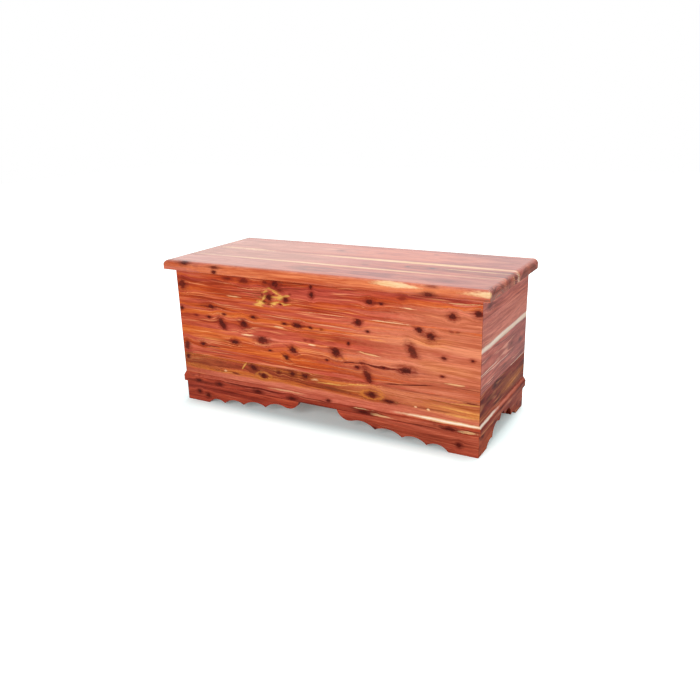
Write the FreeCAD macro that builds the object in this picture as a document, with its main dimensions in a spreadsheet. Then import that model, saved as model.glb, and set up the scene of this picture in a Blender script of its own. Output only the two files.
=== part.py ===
"""Blanket chest of solid red cedar.

Four glued-up, mitred walls stand on a scalloped bracket base; a thin bevelled moulding covers the
joint between them.  A thick lid of three boards, rounded over on its front and both ends, turns on
a continuous hinge along the back, and a slotted stay at each end holds it open.

Millimetres and degrees.  +Z is up, +X runs along the chest to the right as seen from the front,
and +Y runs from front to back.  The origin is the bottom centre of the whole chest.
"""

import FreeCAD
import Part
import os
import re
import Sketcher
from FreeCAD import Placement, Rotation, Vector

# The driving sizes, one cell of the sheet for each.
SIZES = {
    # the case: outside length and depth, and the thickness of its boards
    "case_length": 1087,
    "case_depth": 440,
    "board_thickness": 19,
    # widths of the wall boards; the front wall's four add up to the height of every wall
    "front_bottom_board": 88,
    "front_lower_board": 100,
    "front_upper_board": 100,
    "front_top_board": 98,
    "side_bottom_board": 105,
    "side_upper_board": 89,
    "side_top_board": 61,
    # the skirt under the walls: its height, and the flat feet left at its corners
    "skirt_height": 89,
    "front_foot": 94,
    "side_foot": 74,
    "back_foot": 94,
    "back_arch_round": 45,
    # the scalloped arches: the gap in the middle, then how the run from foot to gap is shared out
    "front_gap": 140,
    "side_gap": 26,
    "front_scallop_share": 0.64,
    "side_scallop_share": 0.39,
    "front_lobe_share": 0.162,
    "side_lobe_share": 0.173,
    "front_lobe_low_share": 0.115,
    "side_lobe_low_share": 0.128,
    "scallop_growth": 0.14,
    # heights along the arches
    "front_scallop_rise": 8.1,
    "side_scallop_rise": 14.5,
    "front_scallop_depth": 14,
    "side_scallop_depth": 9.5,
    "front_hollow_crown": 43,
    "side_hollow_crown": 49.2,
    "front_hollow_end": 40.5,
    "side_hollow_end": 46,
    "front_lobe_low": 37,
    "side_lobe_low": 45,
    # the base moulding
    "moulding_projection": 6.4,
    "moulding_height": 33.4,
    "moulding_lap": 18.4,
    "moulding_bevel": 12.4,
    "moulding_quirk": 0.8,
    # the lid; its middle board takes what the other two leave
    "lid_overhang": 28,
    "lid_thickness": 31.75,
    "lid_round": 16,
    "lid_front_board": 138,
    "lid_back_board": 204,
    # the cleats across the underside of the lid
    "cleat_thickness": 19,
    "cleat_width": 38,
    "cleat_chamfer": 8,
    "cleat_clearance": 8,
    "cleat_inset": 90,
    # the bottom and what holds it up
    "ledger_thickness": 19,
    "ledger_height": 34,
    "ledger_lap": 15,
    "bottom_thickness": 12.7,
    "bottom_play": 0.8,
    "glue_block_leg": 36,
    "glue_block_nose": 9,
    "glue_block_lift": 6,
    # the continuous hinge; its knuckles and screws come out even, near the lengths given
    "hinge_inset": 23,
    "leaf_thickness": 1.2,
    "leaf_width": 15,
    "leaf_gap": 0.2,
    "rebate_play": 0.3,
    "knuckle_length": 25.4,
    "pin_radius": 1.2,
    "pin_clearance": 0.05,
    "knuckle_gap": 0.4,
    "knuckle_play": 0.3,
    "hinge_screw_margin": 20,
    "hinge_screw_spacing": 100,
    # the lid stays: opening angle, and the triangle of hinge, bracket pivot and stud
    "lid_opening": 100,
    "stay_radius": 160,
    "stay_angle": 32,
    "pivot_drop": 15,
    "arm_thickness": 2,
    "arm_half_width": 8,
    "arm_end": 4,
    "stud_radius": 3,
    "stud_head_radius": 5.5,
    "stud_head": 2,
    "stud_collar": 1.5,
    "stud_collar_radius": 5,
    "stud_clearance": 0.3,
    "plate_thickness": 2,
    "plate_width": 16,
    "plate_height": 36,
    "plate_screw_pitch": 22,
    "ear_thickness": 2,
    "ear_half_width": 9,
    "bracket_foot": 26,
    "bracket_screw_pitch": 9,
    "bracket_screw_inset": 16,
    "rivet_radius": 2.5,
    "rivet_clearance": 0.05,
    "rivet_head_radius": 4.5,
    "rivet_head": 1.6,
    # the screws
    "screw_radius": 1.6,
    "screw_head_radius": 2.9,
    "screw_length": 16,
    "screw_tip": 3,
    "plate_screw_length": 13,
    "cleat_screw_radius": 2,
    "cleat_screw_head_radius": 4,
    "cleat_screw_head": 2.4,
    "cleat_screw_length": 38,
    "screw_clearance": 0.05,
}

BOARD_NAMES = ["bottom", "lower", "upper", "top"]
BOTTOM_BOARDS = 4

# Sizes that follow from them.
WORKED_OUT = {
    "half_length": "case_length / 2",
    "wall_height": "front_bottom_board + front_lower_board + front_upper_board + front_top_board",
    "rim_height": "skirt_height + wall_height",
    "overall_depth": "lid_overhang + case_depth + moulding_projection",
    "front_y": "lid_overhang - overall_depth / 2",
    "back_y": "front_y + case_depth",
    "middle_y": "front_y + case_depth / 2",
    "inner_length": "case_length - 2 * board_thickness",
    "inner_depth": "case_depth - 2 * board_thickness",
    "side_lower_board": "wall_height - side_bottom_board - side_upper_board - side_top_board",
    "back_board": f"wall_height / {len(BOARD_NAMES)}",
    "arch_height": "skirt_height - moulding_lap",
    "lid_length": "case_length + 2 * lid_overhang",
    "lid_depth": "case_depth + lid_overhang",
    "lid_front_y": "front_y - lid_overhang",
    "lid_middle_board": "lid_depth - lid_front_board - lid_back_board",
    "cleat_length": "inner_depth - 2 * cleat_clearance",
    "cleat_spacing": "half_length - board_thickness - cleat_inset",
    "cleat_front_y": "front_y + board_thickness + cleat_clearance",
    "ledger_z": "skirt_height - ledger_lap",
    "bottom_board": f"(inner_depth - 2 * bottom_play) / {BOTTOM_BOARDS}",
    # the hinge
    "hinge_length": "case_length - 2 * hinge_inset",
    "knuckle_pairs": "round((hinge_length / knuckle_length - 1) / 2)",
    "knuckle_pitch": "hinge_length / (2 * knuckle_pairs + 1)",
    "knuckle_radius": "pin_radius + pin_clearance + leaf_thickness",
    "knuckle_reach": "knuckle_radius + knuckle_gap",
    "rebate_depth": "2 * leaf_thickness + leaf_gap",
    "hinge_y": "back_y + knuckle_reach",
    "hinge_z": "rim_height - leaf_thickness - leaf_gap / 2",
    "leaf_middle": "knuckle_reach + leaf_width / 2",
    "hinge_screw_run": "hinge_length - 2 * hinge_screw_margin",
    "hinge_screws": "round(hinge_screw_run / hinge_screw_spacing) + 1",
    # the stays: distances inwards from the end wall, and the pivot and stud about the hinge
    "arm_inset": "plate_thickness + stud_collar + stud_clearance + arm_thickness / 2",
    "ear_inset": "arm_inset + arm_thickness / 2 + stud_clearance + ear_thickness / 2",
    "pivot_below": "pivot_drop - (rim_height - hinge_z)",
    "pivot_slope": "asin(pivot_below / stay_radius)",
    "pivot_y": "hinge_y - stay_radius * cos(pivot_slope)",
    "pivot_z": "hinge_z - pivot_below",
    "stud_y": "hinge_y - stay_radius * cos(stay_angle * 1deg + pivot_slope)",
    "stud_z": "hinge_z - stay_radius * sin(stay_angle * 1deg + pivot_slope)",
    "slot_start": "2 * stay_radius * sin(stay_angle * 1deg / 2)",
    "slot_stop": "2 * stay_radius * sin((stay_angle + lid_opening) * 1deg / 2)",
    "slot_half_width": "stud_radius + stud_clearance",
    "bracket_screw_from_ear": "ear_inset + bracket_screw_inset",
}

SKETCH_PLANES = {"plan": "XY_Plane", "front": "XZ_Plane", "side": "YZ_Plane"}

# The four sides, each seen from outside: turn about Z, and the corner at its left-hand end.
SIDES = {
    "front": (0, -1, -1, "case_length"),
    "right": (90, 1, -1, "case_depth"),
    "back": (180, 1, 1, "case_length"),
    "left": (270, -1, 1, "case_depth"),
}
ENDS = {"left": -1, "right": 1}

doc = FreeCAD.newDocument("BlanketChest")
sheet = doc.addObject("Spreadsheet::Sheet", "Sizes")
for row, (alias, number) in enumerate(SIZES.items(), start=1):
    sheet.set(f"A{row}", alias)
    sheet.set(f"B{row}", str(number))
    sheet.setAlias(f"B{row}", alias)
doc.recompute()
pieces = []


# ---------------------------------------------------------------------------------------------
# Expressions
# ---------------------------------------------------------------------------------------------
def in_cells(text):
    """The expression with each of its words written as a cell of the sheet."""
    def cell(word):
        name = word.group()
        if name in WORKED_OUT:
            return f"({in_cells(WORKED_OUT[name])})"
        return f"Sizes.{name}" if name in SIZES else name
    return re.sub(r"[a-z_]+", cell, str(text))


def value(text):
    """What the expression comes to."""
    return float(sheet.evalExpression(in_cells(text)))


def bind(thing, **expressions):
    """Tie properties of an object to expressions."""
    for name, text in expressions.items():
        thing.setExpression(name, in_cells(text))


def place(piece, x, y, z, axis=(0, 0, 1), angle=0):
    """Put a piece at x, y, z, turned about an axis."""
    piece.Placement = Placement(Vector(0, 0, 0), Rotation(Vector(*axis), value(angle)))
    piece.setExpression(".Placement.Base.x", in_cells(x))
    piece.setExpression(".Placement.Base.y", in_cells(y))
    piece.setExpression(".Placement.Base.z", in_cells(z))
    if isinstance(angle, str):
        piece.setExpression(".Placement.Rotation.Angle", in_cells(angle))


# ---------------------------------------------------------------------------------------------
# Bodies, sketches and features
# ---------------------------------------------------------------------------------------------
def new_body(name):
    piece = doc.addObject("PartDesign::Body", name)
    piece.Label = name
    pieces.append(piece)
    return piece


def pin_point(drawing, geometry, end, x, y):
    """Hold one end of a curve at x, y from the sketch's origin."""
    for kind, text in (("DistanceX", x), ("DistanceY", y)):
        held = Sketcher.Constraint(kind, -1, 1, geometry, end, value(text))
        index = drawing.addConstraint(held)
        drawing.setExpression(f"Constraints[{index}]", in_cells(text))


def draw_circle(drawing, x, y, radius):
    centre = Vector(value(x), value(y), 0)
    circle = drawing.addGeometry(Part.Circle(centre, Vector(0, 0, 1), value(radius)), False)
    pin_point(drawing, circle, 3, x, y)
    size = drawing.addConstraint(Sketcher.Constraint("Radius", circle, value(radius)))
    drawing.setExpression(f"Constraints[{size}]", in_cells(radius))


def draw_loop(drawing, corners):
    """Close a loop of corners (x, y).  A corner (x, y, via_x, via_y) is reached by an arc."""
    points = [Vector(value(corner[0]), value(corner[1]), 0) for corner in corners]
    edges = []
    for index, corner in enumerate(corners):
        start, end = points[index - 1], points[index]
        if len(corner) == 4:
            via = Vector(value(corner[2]), value(corner[3]), 0)
            clockwise = (via - start).cross(end - via).z < 0
            first, last = (end, start) if clockwise else (start, end)
            edge = drawing.addGeometry(Part.Arc(first, via, last), False)
            mark = drawing.addGeometry(Part.Point(via), True)
            drawing.addConstraint(Sketcher.Constraint("PointOnObject", mark, 1, edge))
            pin_point(drawing, mark, 1, corner[2], corner[3])
            edges.append((edge, 2, 1) if clockwise else (edge, 1, 2))
        else:
            edge = drawing.addGeometry(Part.LineSegment(start, end), False)
            edges.append((edge, 1, 2))
    for index, corner in enumerate(corners):
        edge, _, last = edges[index]
        following, first, _ = edges[(index + 1) % len(edges)]
        drawing.addConstraint(Sketcher.Constraint("Coincident", edge, last, following, first))
        pin_point(drawing, edge, last, corner[0], corner[1])


def sketch(piece, name, plane, loops=(), circles=(), offset=("0", "0", "0")):
    """A sketch on one of the body's own planes, moved by an offset in the sketch's own axes."""
    drawing = piece.newObject("Sketcher::SketchObject", f"{piece.Name}_{name}")
    role = SKETCH_PLANES[plane]
    origin_plane = next(item for item in piece.Origin.OriginFeatures if item.Role == role)
    drawing.AttachmentSupport = [(origin_plane, "")]
    drawing.MapMode = "FlatFace"
    for axis, text in zip("xyz", offset):
        drawing.setExpression(f".AttachmentOffset.Base.{axis}", in_cells(text))
    for corners in loops:
        draw_loop(drawing, corners)
    for circle in circles:
        draw_circle(drawing, *circle)
    return drawing


def pad(piece, drawing, thickness, symmetric=False):
    feature = piece.newObject("PartDesign::Pad", drawing.Name + "_pad")
    feature.Profile = drawing
    feature.SideType = "Symmetric" if symmetric else "One side"
    bind(feature, Length=thickness)
    return feature


def cut_through(piece, drawing):
    feature = piece.newObject("PartDesign::Pocket", drawing.Name + "_cut")
    feature.Profile = drawing
    feature.SideType = "Symmetric"
    feature.Type = "ThroughAll"
    return feature


def cut(piece, drawing, depth, along_normal=False):
    """A pocket against the sketch's normal, or along it."""
    feature = piece.newObject("PartDesign::Pocket", drawing.Name + "_cut")
    feature.Profile = drawing
    feature.Type = "Length"
    feature.Reversed = along_normal
    bind(feature, Length=depth)
    return feature


def revolve(piece, drawing, kind="PartDesign::Revolution"):
    """Turn a profile about its sketch's upright axis."""
    feature = piece.newObject(kind, drawing.Name + "_turned")
    feature.Profile = drawing
    feature.ReferenceAxis = (drawing, ["V_Axis"])
    feature.Angle = 360
    return feature


def repeat(piece, feature, length, copies, axis="X_Axis"):
    """A row of copies of a feature, spread over a length."""
    pattern = piece.newObject("PartDesign::LinearPattern", feature.Name + "_row")
    pattern.Originals = [feature]
    direction = next(item for item in piece.Origin.OriginFeatures if item.Role == axis)
    pattern.Direction = (direction, [""])
    bind(pattern, Length=length, Occurrences=copies)
    piece.Tip = pattern
    return pattern


def box(name, length, width, height, x, y, z):
    piece = doc.addObject("Part::Box", name)
    piece.Label = name
    bind(piece, Length=length, Width=width, Height=height)
    place(piece, x, y, z)
    pieces.append(piece)
    return piece


def rectangle(length, width):
    return [("0", "0"), (length, "0"), (length, width), ("0", width)]


def rounding(x, top, radius, way=1):
    """What a quarter-round takes off the corner at x, top; way is +1 at the left-hand corner."""
    near = f"{radius} * (1 - sqrt(0.5))"
    return [(x, top), (x, f"{top} - {radius}"),
            (f"{x} + {way} * {radius}", top, f"{x} + {way} * {near}", f"{top} - {near}")]


# ---------------------------------------------------------------------------------------------
# Mitred boards: walls, skirt and moulding
# ---------------------------------------------------------------------------------------------
def mitred_board(name, side, z, height, thickness="board_thickness", outside="0"):
    """A board along one side, mitred at both ends, its face `outside` beyond the case's face.

    In the body, x runs along the outer face, y goes inwards from it and z is up.
    """
    turn, to_right, to_back, length = SIDES[side]
    length = f"({length} + 2 * {outside})"
    piece = new_body(name)
    plan = [("0", "0"), (length, "0"), (f"{length} - {thickness}", thickness),
            (thickness, thickness)]
    pad(piece, sketch(piece, "plan", "plan", [plan]), height)
    place(piece, f"{to_right} * (half_length + {outside})",
          f"middle_y + {to_back} * (case_depth / 2 + {outside})", z, angle=turn)
    return piece


WALL_BOARDS = {
    "front": ["front_bottom_board", "front_lower_board", "front_upper_board", "front_top_board"],
    "right": ["side_bottom_board", "side_lower_board", "side_upper_board", "side_top_board"],
    "back": ["back_board"] * len(BOARD_NAMES),
    "left": ["side_bottom_board", "side_lower_board", "side_upper_board", "side_top_board"],
}


def stay_plate_holes(piece, side, below):
    """Pilot holes in an end wall's board for the screws of the stay's plate."""
    along = "stud_y - front_y" if side == "right" else "back_y - stud_y"
    holes = [(along, f"stud_z + {sign} * plate_screw_pitch / 2 - ({below})",
              "screw_radius + screw_clearance") for sign in (-1, 1)]
    drawing = sketch(piece, "plate_holes", "front", circles=holes,
                     offset=("0", "0", "-board_thickness"))
    cut(piece, drawing, "plate_screw_length - plate_thickness + screw_clearance", along_normal=True)


def hinge_rebate(piece):
    """The step along the top of the back wall that the folded leaves lie in, and their holes."""
    length, top = "case_length", "back_board"
    start = "(hinge_inset - rebate_play)"
    stop = f"{length} - {start}"
    step = [(start, "-rebate_play"), (stop, "-rebate_play"),
            (stop, "leaf_width + rebate_play"), (start, "leaf_width + rebate_play")]
    cut(piece, sketch(piece, "rebate", "plan", [step], offset=("0", "0", top)), "rebate_depth")
    hole = [("hinge_inset + hinge_screw_margin", "leaf_width / 2",
             "screw_radius + screw_clearance")]
    drilled = cut(piece, sketch(piece, "leaf_hole", "plan", circles=hole,
                                offset=("0", "0", f"{top} - rebate_depth")),
                  "screw_length - leaf_thickness + screw_clearance")
    repeat(piece, drilled, "hinge_screw_run", "hinge_screws")


def walls():
    for side, widths in WALL_BOARDS.items():
        below = "skirt_height"
        for name, width in zip(BOARD_NAMES, widths):
            piece = mitred_board(f"{side}_wall_{name}_board", side, below, width)
            if side in ENDS and name == "upper":
                stay_plate_holes(piece, side, below)
            if side == "back" and name == "top":
                hinge_rebate(piece)
            below = f"{below} + {width}"


def scalloped_arch(side, length, scallops):
    """The outline cut out of a skirt: scallops that climb from each foot, then a hollow and a
    lobe on each side of the gap in the middle."""
    foot = f"{side}_foot"
    edge = f"({length} / 2 - {side}_gap / 2)"
    run = f"({edge} - {foot})"
    scallop_run = f"({run} * {side}_scallop_share)"
    half = [(foot, "0")]
    reached, height = foot, "0"
    for number in range(1, scallops + 1):
        grown = f"scallop_growth * {number * (number - scallops) / 2}"
        cusp = f"{foot} + {scallop_run} / {scallops} * ({number} + {grown})"
        cusp_height = f"{number} * {side}_scallop_rise"
        half.append((cusp, cusp_height, f"({reached} + {cusp}) / 2",
                     f"({height} + {cusp_height}) / 2 + {side}_scallop_depth"))
        reached, height = cusp, cusp_height
    hollow_end = f"{edge} - {run} * {side}_lobe_share"
    half.append((hollow_end, f"{side}_hollow_end",
                 f"({reached} + {hollow_end}) / 2", f"{side}_hollow_crown"))
    half.append((edge, "arch_height",
                 f"{edge} - {run} * {side}_lobe_low_share", f"{side}_lobe_low"))
    return mirrored_outline(half, length)


def plain_arch(length):
    """The back's plain cut, with a rounded corner at each foot."""
    corner = "back_arch_round * (1 - sqrt(0.5))"
    half = [("back_foot", "0"), ("back_foot", "arch_height - back_arch_round"),
            ("back_foot + back_arch_round", "arch_height",
             f"back_foot + {corner}", f"arch_height - {corner}")]
    return mirrored_outline(half, length)


def mirrored_outline(half, length):
    """A closed outline from its left half, which runs from the foot up to the middle."""
    outline = list(half)
    arriving = ()
    for corner in reversed(half):
        via = (f"{length} - ({arriving[0]})", arriving[1]) if arriving else ()
        outline.append((f"{length} - ({corner[0]})", corner[1]) + via)
        arriving = corner[2:]
    below = "-board_thickness"
    return outline + [(f"{length} - ({half[0][0]})", below), (half[0][0], below)]


def skirt():
    arches = {
        "front": scalloped_arch("front", "case_length", 3),
        "right": scalloped_arch("side", "case_depth", 1),
        "back": plain_arch("case_length"),
        "left": scalloped_arch("side", "case_depth", 1),
    }
    for side, arch in arches.items():
        piece = mitred_board(f"{side}_skirt", side, "0", "skirt_height")
        cut_through(piece, sketch(piece, "arch", "front", [arch]))


def base_moulding():
    for side in SIDES:
        piece = mitred_board(f"{side}_base_moulding", side, "arch_height", "moulding_height",
                             "moulding_projection", "moulding_projection")
        bevel = [("0", "moulding_height"), ("0", "moulding_height - moulding_bevel"),
                 ("moulding_projection - moulding_quirk", "moulding_height")]
        cut_through(piece, sketch(piece, "bevel", "side", [bevel]))


# ---------------------------------------------------------------------------------------------
# Bottom
# ---------------------------------------------------------------------------------------------
def bottom():
    left, inside_y = "board_thickness - half_length", "front_y + board_thickness"
    for number in range(BOTTOM_BOARDS):
        box(f"bottom_board_{number + 1}", "inner_length - 2 * bottom_play", "bottom_board",
            "bottom_thickness", f"{left} + bottom_play",
            f"{inside_y} + bottom_play + {number} * bottom_board", "ledger_z + ledger_height")
    box("front_ledger", "inner_length", "ledger_thickness", "ledger_height",
        left, inside_y, "ledger_z")
    box("back_ledger", "inner_length", "ledger_thickness", "ledger_height",
        left, "back_y - board_thickness - ledger_thickness", "ledger_z")
    for side, start in (("left", left), ("right", "half_length - board_thickness - ledger_thickness")):
        box(f"{side}_ledger", "ledger_thickness", "inner_depth - 2 * ledger_thickness",
            "ledger_height", start, f"{inside_y} + ledger_thickness", "ledger_z")


def glue_blocks():
    """Blocks rubbed into the inner corners of the skirt, just clear of the floor."""
    leg, nose = "glue_block_leg", "glue_block_nose"
    plan = [("0", "0"), (leg, "0"), (leg, nose), (nose, leg), ("0", leg)]
    corners = ("front_left", "front_right", "back_right", "back_left")
    for corner, (turn, to_right, to_back, _) in zip(corners, SIDES.values()):
        piece = new_body(f"{corner}_glue_block")
        pad(piece, sketch(piece, "plan", "plan", [plan]), "ledger_z - glue_block_lift")
        place(piece, f"{to_right} * (half_length - board_thickness)",
              f"middle_y + {to_back} * (case_depth / 2 - board_thickness)",
              "glue_block_lift", angle=turn)


# ---------------------------------------------------------------------------------------------
# Screws, and the holes that they sit in
# ---------------------------------------------------------------------------------------------
def screw_profile(radius, head_radius, head, length):
    """Half of a countersunk screw, its head's flat at the origin and its point downwards."""
    return [("0", "0"), (head_radius, "0"), (radius, f"-({head})"),
            (radius, f"screw_tip - ({length})"), ("0", f"-({length})")]


def screws(name, profile, rows, spread, copies, axis="X_Axis"):
    """Screws in rows; each row starts at (x, y) in the body's plan and runs along an axis."""
    piece = new_body(name)
    for number, (x, y) in enumerate(rows):
        drawing = sketch(piece, f"profile_{number}", "front", [profile],
                         offset=(x, "0", f"-({y})"))
        repeat(piece, revolve(piece, drawing), spread, copies, axis)
    return piece


def countersink(piece, name, x, y, z, radius, head_radius, head, turned_over=False):
    """A hole and its countersink through a leaf or a plate, its mouth at height z."""
    loose, down = "screw_clearance", "" if turned_over else "-"
    profile = [("0", "0"), (f"{head_radius} + {loose}", "0"),
               (f"{radius} + {loose}", f"{down}({head})"), ("0", f"{down}({head})")]
    drawing = sketch(piece, name, "front", [profile], offset=(x, z, f"-({y})"))
    return revolve(piece, drawing, "PartDesign::Groove")


# ---------------------------------------------------------------------------------------------
# Lid
# ---------------------------------------------------------------------------------------------
LID_BOARDS = [("front", "lid_front_board", "0"),
              ("middle", "lid_middle_board", "lid_front_board"),
              ("back", "lid_back_board", "lid_front_board + lid_middle_board")]


def lid_boards():
    for name, width, start in LID_BOARDS:
        piece = new_body(f"lid_{name}_board")
        pad(piece, sketch(piece, "plan", "plan", [rectangle("lid_length", width)]),
            "lid_thickness")
        ends = [rounding("0", "lid_thickness", "lid_round"),
                rounding("lid_length", "lid_thickness", "lid_round", way=-1)]
        cut_through(piece, sketch(piece, "end_rounds", "front", ends))
        if name == "front":
            edge = rounding("0", "lid_thickness", "lid_round")
            cut_through(piece, sketch(piece, "front_round", "side", [edge]))
        holes = [(f"lid_length / 2 + {sign} * cleat_spacing", f"{width} / 2",
                  "cleat_screw_radius + screw_clearance") for sign in (-1, 0, 1)]
        cut(piece, sketch(piece, "cleat_holes", "plan", circles=holes),
            "cleat_screw_length - cleat_thickness + screw_clearance", along_normal=True)
        if name == "back":
            hinge_and_bracket_holes(piece)
        place(piece, "-lid_length / 2", f"lid_front_y + {start}", "rim_height")


def hinge_and_bracket_holes(piece):
    """Pilot holes in the back lid board for the screws of the hinge leaf and both brackets."""
    hole = "screw_radius + screw_clearance"
    row = [("lid_overhang + hinge_inset + hinge_screw_margin", "lid_back_board - leaf_width / 2",
            hole)]
    drilled = cut(piece, sketch(piece, "leaf_hole", "plan", circles=row),
                  "screw_length - leaf_thickness + screw_clearance", along_normal=True)
    repeat(piece, drilled, "hinge_screw_run", "hinge_screws")
    far = "half_length - board_thickness - bracket_screw_from_ear"
    along = "lid_back_board - (back_y - pivot_y)"
    holes = [(f"lid_length / 2 + {end} * ({far})", f"{along} + {sign} * bracket_screw_pitch / 2",
              hole) for end in (-1, 1) for sign in (-1, 1)]
    cut(piece, sketch(piece, "bracket_holes", "plan", circles=holes),
        "plate_screw_length - ear_thickness + screw_clearance", along_normal=True)


def cleats():
    bevel, length, thick = "cleat_chamfer", "cleat_length", "cleat_thickness"
    outline = [(bevel, "0"), (f"{length} - {bevel}", "0"), (length, bevel), (length, thick),
               ("0", thick), ("0", bevel)]
    screw_ys = [f"lid_front_y + {start} + {width} / 2" for _, width, start in LID_BOARDS]
    sizes = ("cleat_screw_radius", "cleat_screw_head_radius", "cleat_screw_head")
    for name, sign in (("left", -1), ("middle", 0), ("right", 1)):
        piece = new_body(f"{name}_lid_cleat")
        pad(piece, sketch(piece, "outline", "side", [outline]), "cleat_width", symmetric=True)
        holes = [("0", f"{y} - cleat_front_y", "cleat_screw_radius + screw_clearance")
                 for y in screw_ys]
        cut_through(piece, sketch(piece, "holes", "plan", circles=holes))
        for number, y in enumerate(screw_ys):
            countersink(piece, f"sink_{number}", "0", f"{y} - cleat_front_y", "0", *sizes,
                        turned_over=True)
        place(piece, f"{sign} * cleat_spacing", "cleat_front_y", "rim_height - cleat_thickness")
    profile = screw_profile(*sizes, "cleat_screw_length")
    rows = [("-cleat_spacing", f"-({y})") for y in screw_ys]
    piece = screws("cleat_screws", profile, rows, "2 * cleat_spacing", 3)
    place(piece, "0", "0", "rim_height - cleat_thickness", (1, 0, 0), 180)


# ---------------------------------------------------------------------------------------------
# Continuous hinge.  In its bodies, x runs along the pin from the hinge's left-hand end.
# ---------------------------------------------------------------------------------------------
def leaf(name, up, first, knuckles):
    """One leaf: a plate with every second knuckle; up is +1 for the leaf under the lid."""
    piece = new_body(name)
    near, far = f"{up} * leaf_gap / 2", f"{up} * (leaf_gap / 2 + leaf_thickness)"
    edge = "-knuckle_reach"
    plate = [(f"{edge} - leaf_width", near), (edge, near), (edge, far),
             (f"{edge} - leaf_width", far)]
    pad(piece, sketch(piece, "plate", "side", [plate]), "hinge_length")
    root_near = f"-sqrt(knuckle_radius ^ 2 - ({near}) ^ 2)"
    root_far = f"-sqrt(knuckle_radius ^ 2 - ({far}) ^ 2)"
    knuckle = [(edge, near), (root_near, near),
               (root_far, far, "knuckle_radius", "0"), (edge, far)]
    bore = [("0", "0", "pin_radius + pin_clearance")]
    drawing = sketch(piece, "knuckle", "side", [knuckle], bore,
                     offset=("0", "0", f"{first} * knuckle_pitch + knuckle_play / 2"))
    repeat(piece, pad(piece, drawing, "knuckle_pitch - knuckle_play"),
           f"2 * ({knuckles} - 1) * knuckle_pitch", knuckles)
    mouth = f"{up} * leaf_gap / 2"
    sunk = countersink(piece, "sink", "hinge_screw_margin", "-leaf_middle", mouth, "screw_radius",
                       "screw_head_radius", "leaf_thickness", turned_over=up > 0)
    repeat(piece, sunk, "hinge_screw_run", "hinge_screws")
    place(piece, "-hinge_length / 2", "hinge_y", "hinge_z")


def hinge():
    leaf("hinge_case_leaf", -1, 0, "knuckle_pairs + 1")
    leaf("hinge_lid_leaf", 1, 1, "knuckle_pairs")
    pin = doc.addObject("Part::Cylinder", "hinge_pin")
    pin.Label = "hinge_pin"
    bind(pin, Radius="pin_radius", Height="hinge_length")
    place(pin, "-hinge_length / 2", "hinge_y", "hinge_z", (0, 1, 0), 90)
    pieces.append(pin)
    profile = screw_profile("screw_radius", "screw_head_radius", "leaf_thickness", "screw_length")
    start = "hinge_screw_margin - hinge_length / 2"
    for name, up, turn in (("hinge_case_screws", -1, 0), ("hinge_lid_screws", 1, 180)):
        piece = screws(name, profile, [(start, "0")], "hinge_screw_run", "hinge_screws")
        place(piece, "0", "hinge_y - leaf_middle", f"hinge_z + {up} * leaf_gap / 2",
              (1, 0, 0), turn)


# ---------------------------------------------------------------------------------------------
# Lid stays.  The arm's pivot and the stud lie equally far from the hinge, so the arm turns on
# its bracket by half the angle that the lid turns.
# ---------------------------------------------------------------------------------------------
def from_wall(end, inset):
    """The x of something a given distance inwards from an end wall."""
    return f"{end} * (half_length - board_thickness - ({inset}))"


def stay_arm(side, end):
    piece = new_body(f"{side}_stay_arm")
    wide, tip = "arm_half_width", "-(slot_stop + arm_end)"
    outline = [(f"-{wide}", "0", "0", wide), (f"-{wide}", tip),
               (wide, tip, "0", f"{tip} - {wide}"), (wide, "0")]
    half, high, low = "slot_half_width", "stud_clearance - slot_start", "-slot_stop - stud_clearance"
    slot = [(f"-{half}", high, "0", f"{high} + {half}"), (f"-{half}", low),
            (half, low, "0", f"{low} - {half}"), (half, high)]
    hole = [("0", "0", "rivet_radius + rivet_clearance")]
    pad(piece, sketch(piece, "outline", "side", [outline, slot], hole), "arm_thickness",
        symmetric=True)
    place(piece, from_wall(end, "arm_inset"), "pivot_y", "pivot_z", (1, 0, 0),
          "stay_angle * 1deg / 2 + pivot_slope")


def stay_bracket(side, end):
    """An angle bracket: its foot is screwed to the lid and its ear hangs beside the arm."""
    piece = new_body(f"{side}_stay_bracket")
    wide, top = "ear_half_width", "pivot_drop"
    ear = [(f"-{wide}", top), (f"-{wide}", "0"), (wide, "0", "0", f"-{wide}"), (wide, top)]
    pad(piece, sketch(piece, "ear", "side", [ear], [("0", "0", "rivet_radius")]),
        "ear_thickness", symmetric=True)
    inward = -end
    near, far = f"{end} * ear_thickness / 2", f"{inward} * bracket_foot"
    foot = [(near, f"-{wide}"), (far, f"-{wide}"), (far, wide), (near, wide)]
    pad(piece, sketch(piece, "foot", "plan", [foot], offset=("0", "0", f"{top} - ear_thickness")),
        "ear_thickness")
    for number, sign in enumerate((-1, 1)):
        countersink(piece, f"sink_{number}", f"{inward} * bracket_screw_inset",
                    f"{sign} * bracket_screw_pitch / 2", f"{top} - ear_thickness",
                    "screw_radius", "screw_head_radius", "ear_thickness", turned_over=True)
    place(piece, from_wall(end, "ear_inset"), "pivot_y", "pivot_z")


def stay_rivet(side, end):
    """The rivet through ear and arm: a shank, and a head on each side."""
    piece = new_body(f"{side}_stay_rivet")
    outer = "arm_thickness / 2 + stud_clearance"
    inner = "ear_inset - arm_inset + ear_thickness / 2"
    profile = [("0", f"{outer} + rivet_head"), ("rivet_head_radius", f"{outer} + rivet_head"),
               ("rivet_head_radius", outer), ("rivet_radius", outer),
               ("rivet_radius", f"-({inner})"), ("rivet_head_radius", f"-({inner})"),
               ("rivet_head_radius", f"-({inner}) - rivet_head"), ("0", f"-({inner}) - rivet_head")]
    revolve(piece, sketch(piece, "profile", "front", [profile]))
    place(piece, from_wall(end, "arm_inset"), "pivot_y", "pivot_z", (0, 1, 0), 90 * end)


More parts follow.
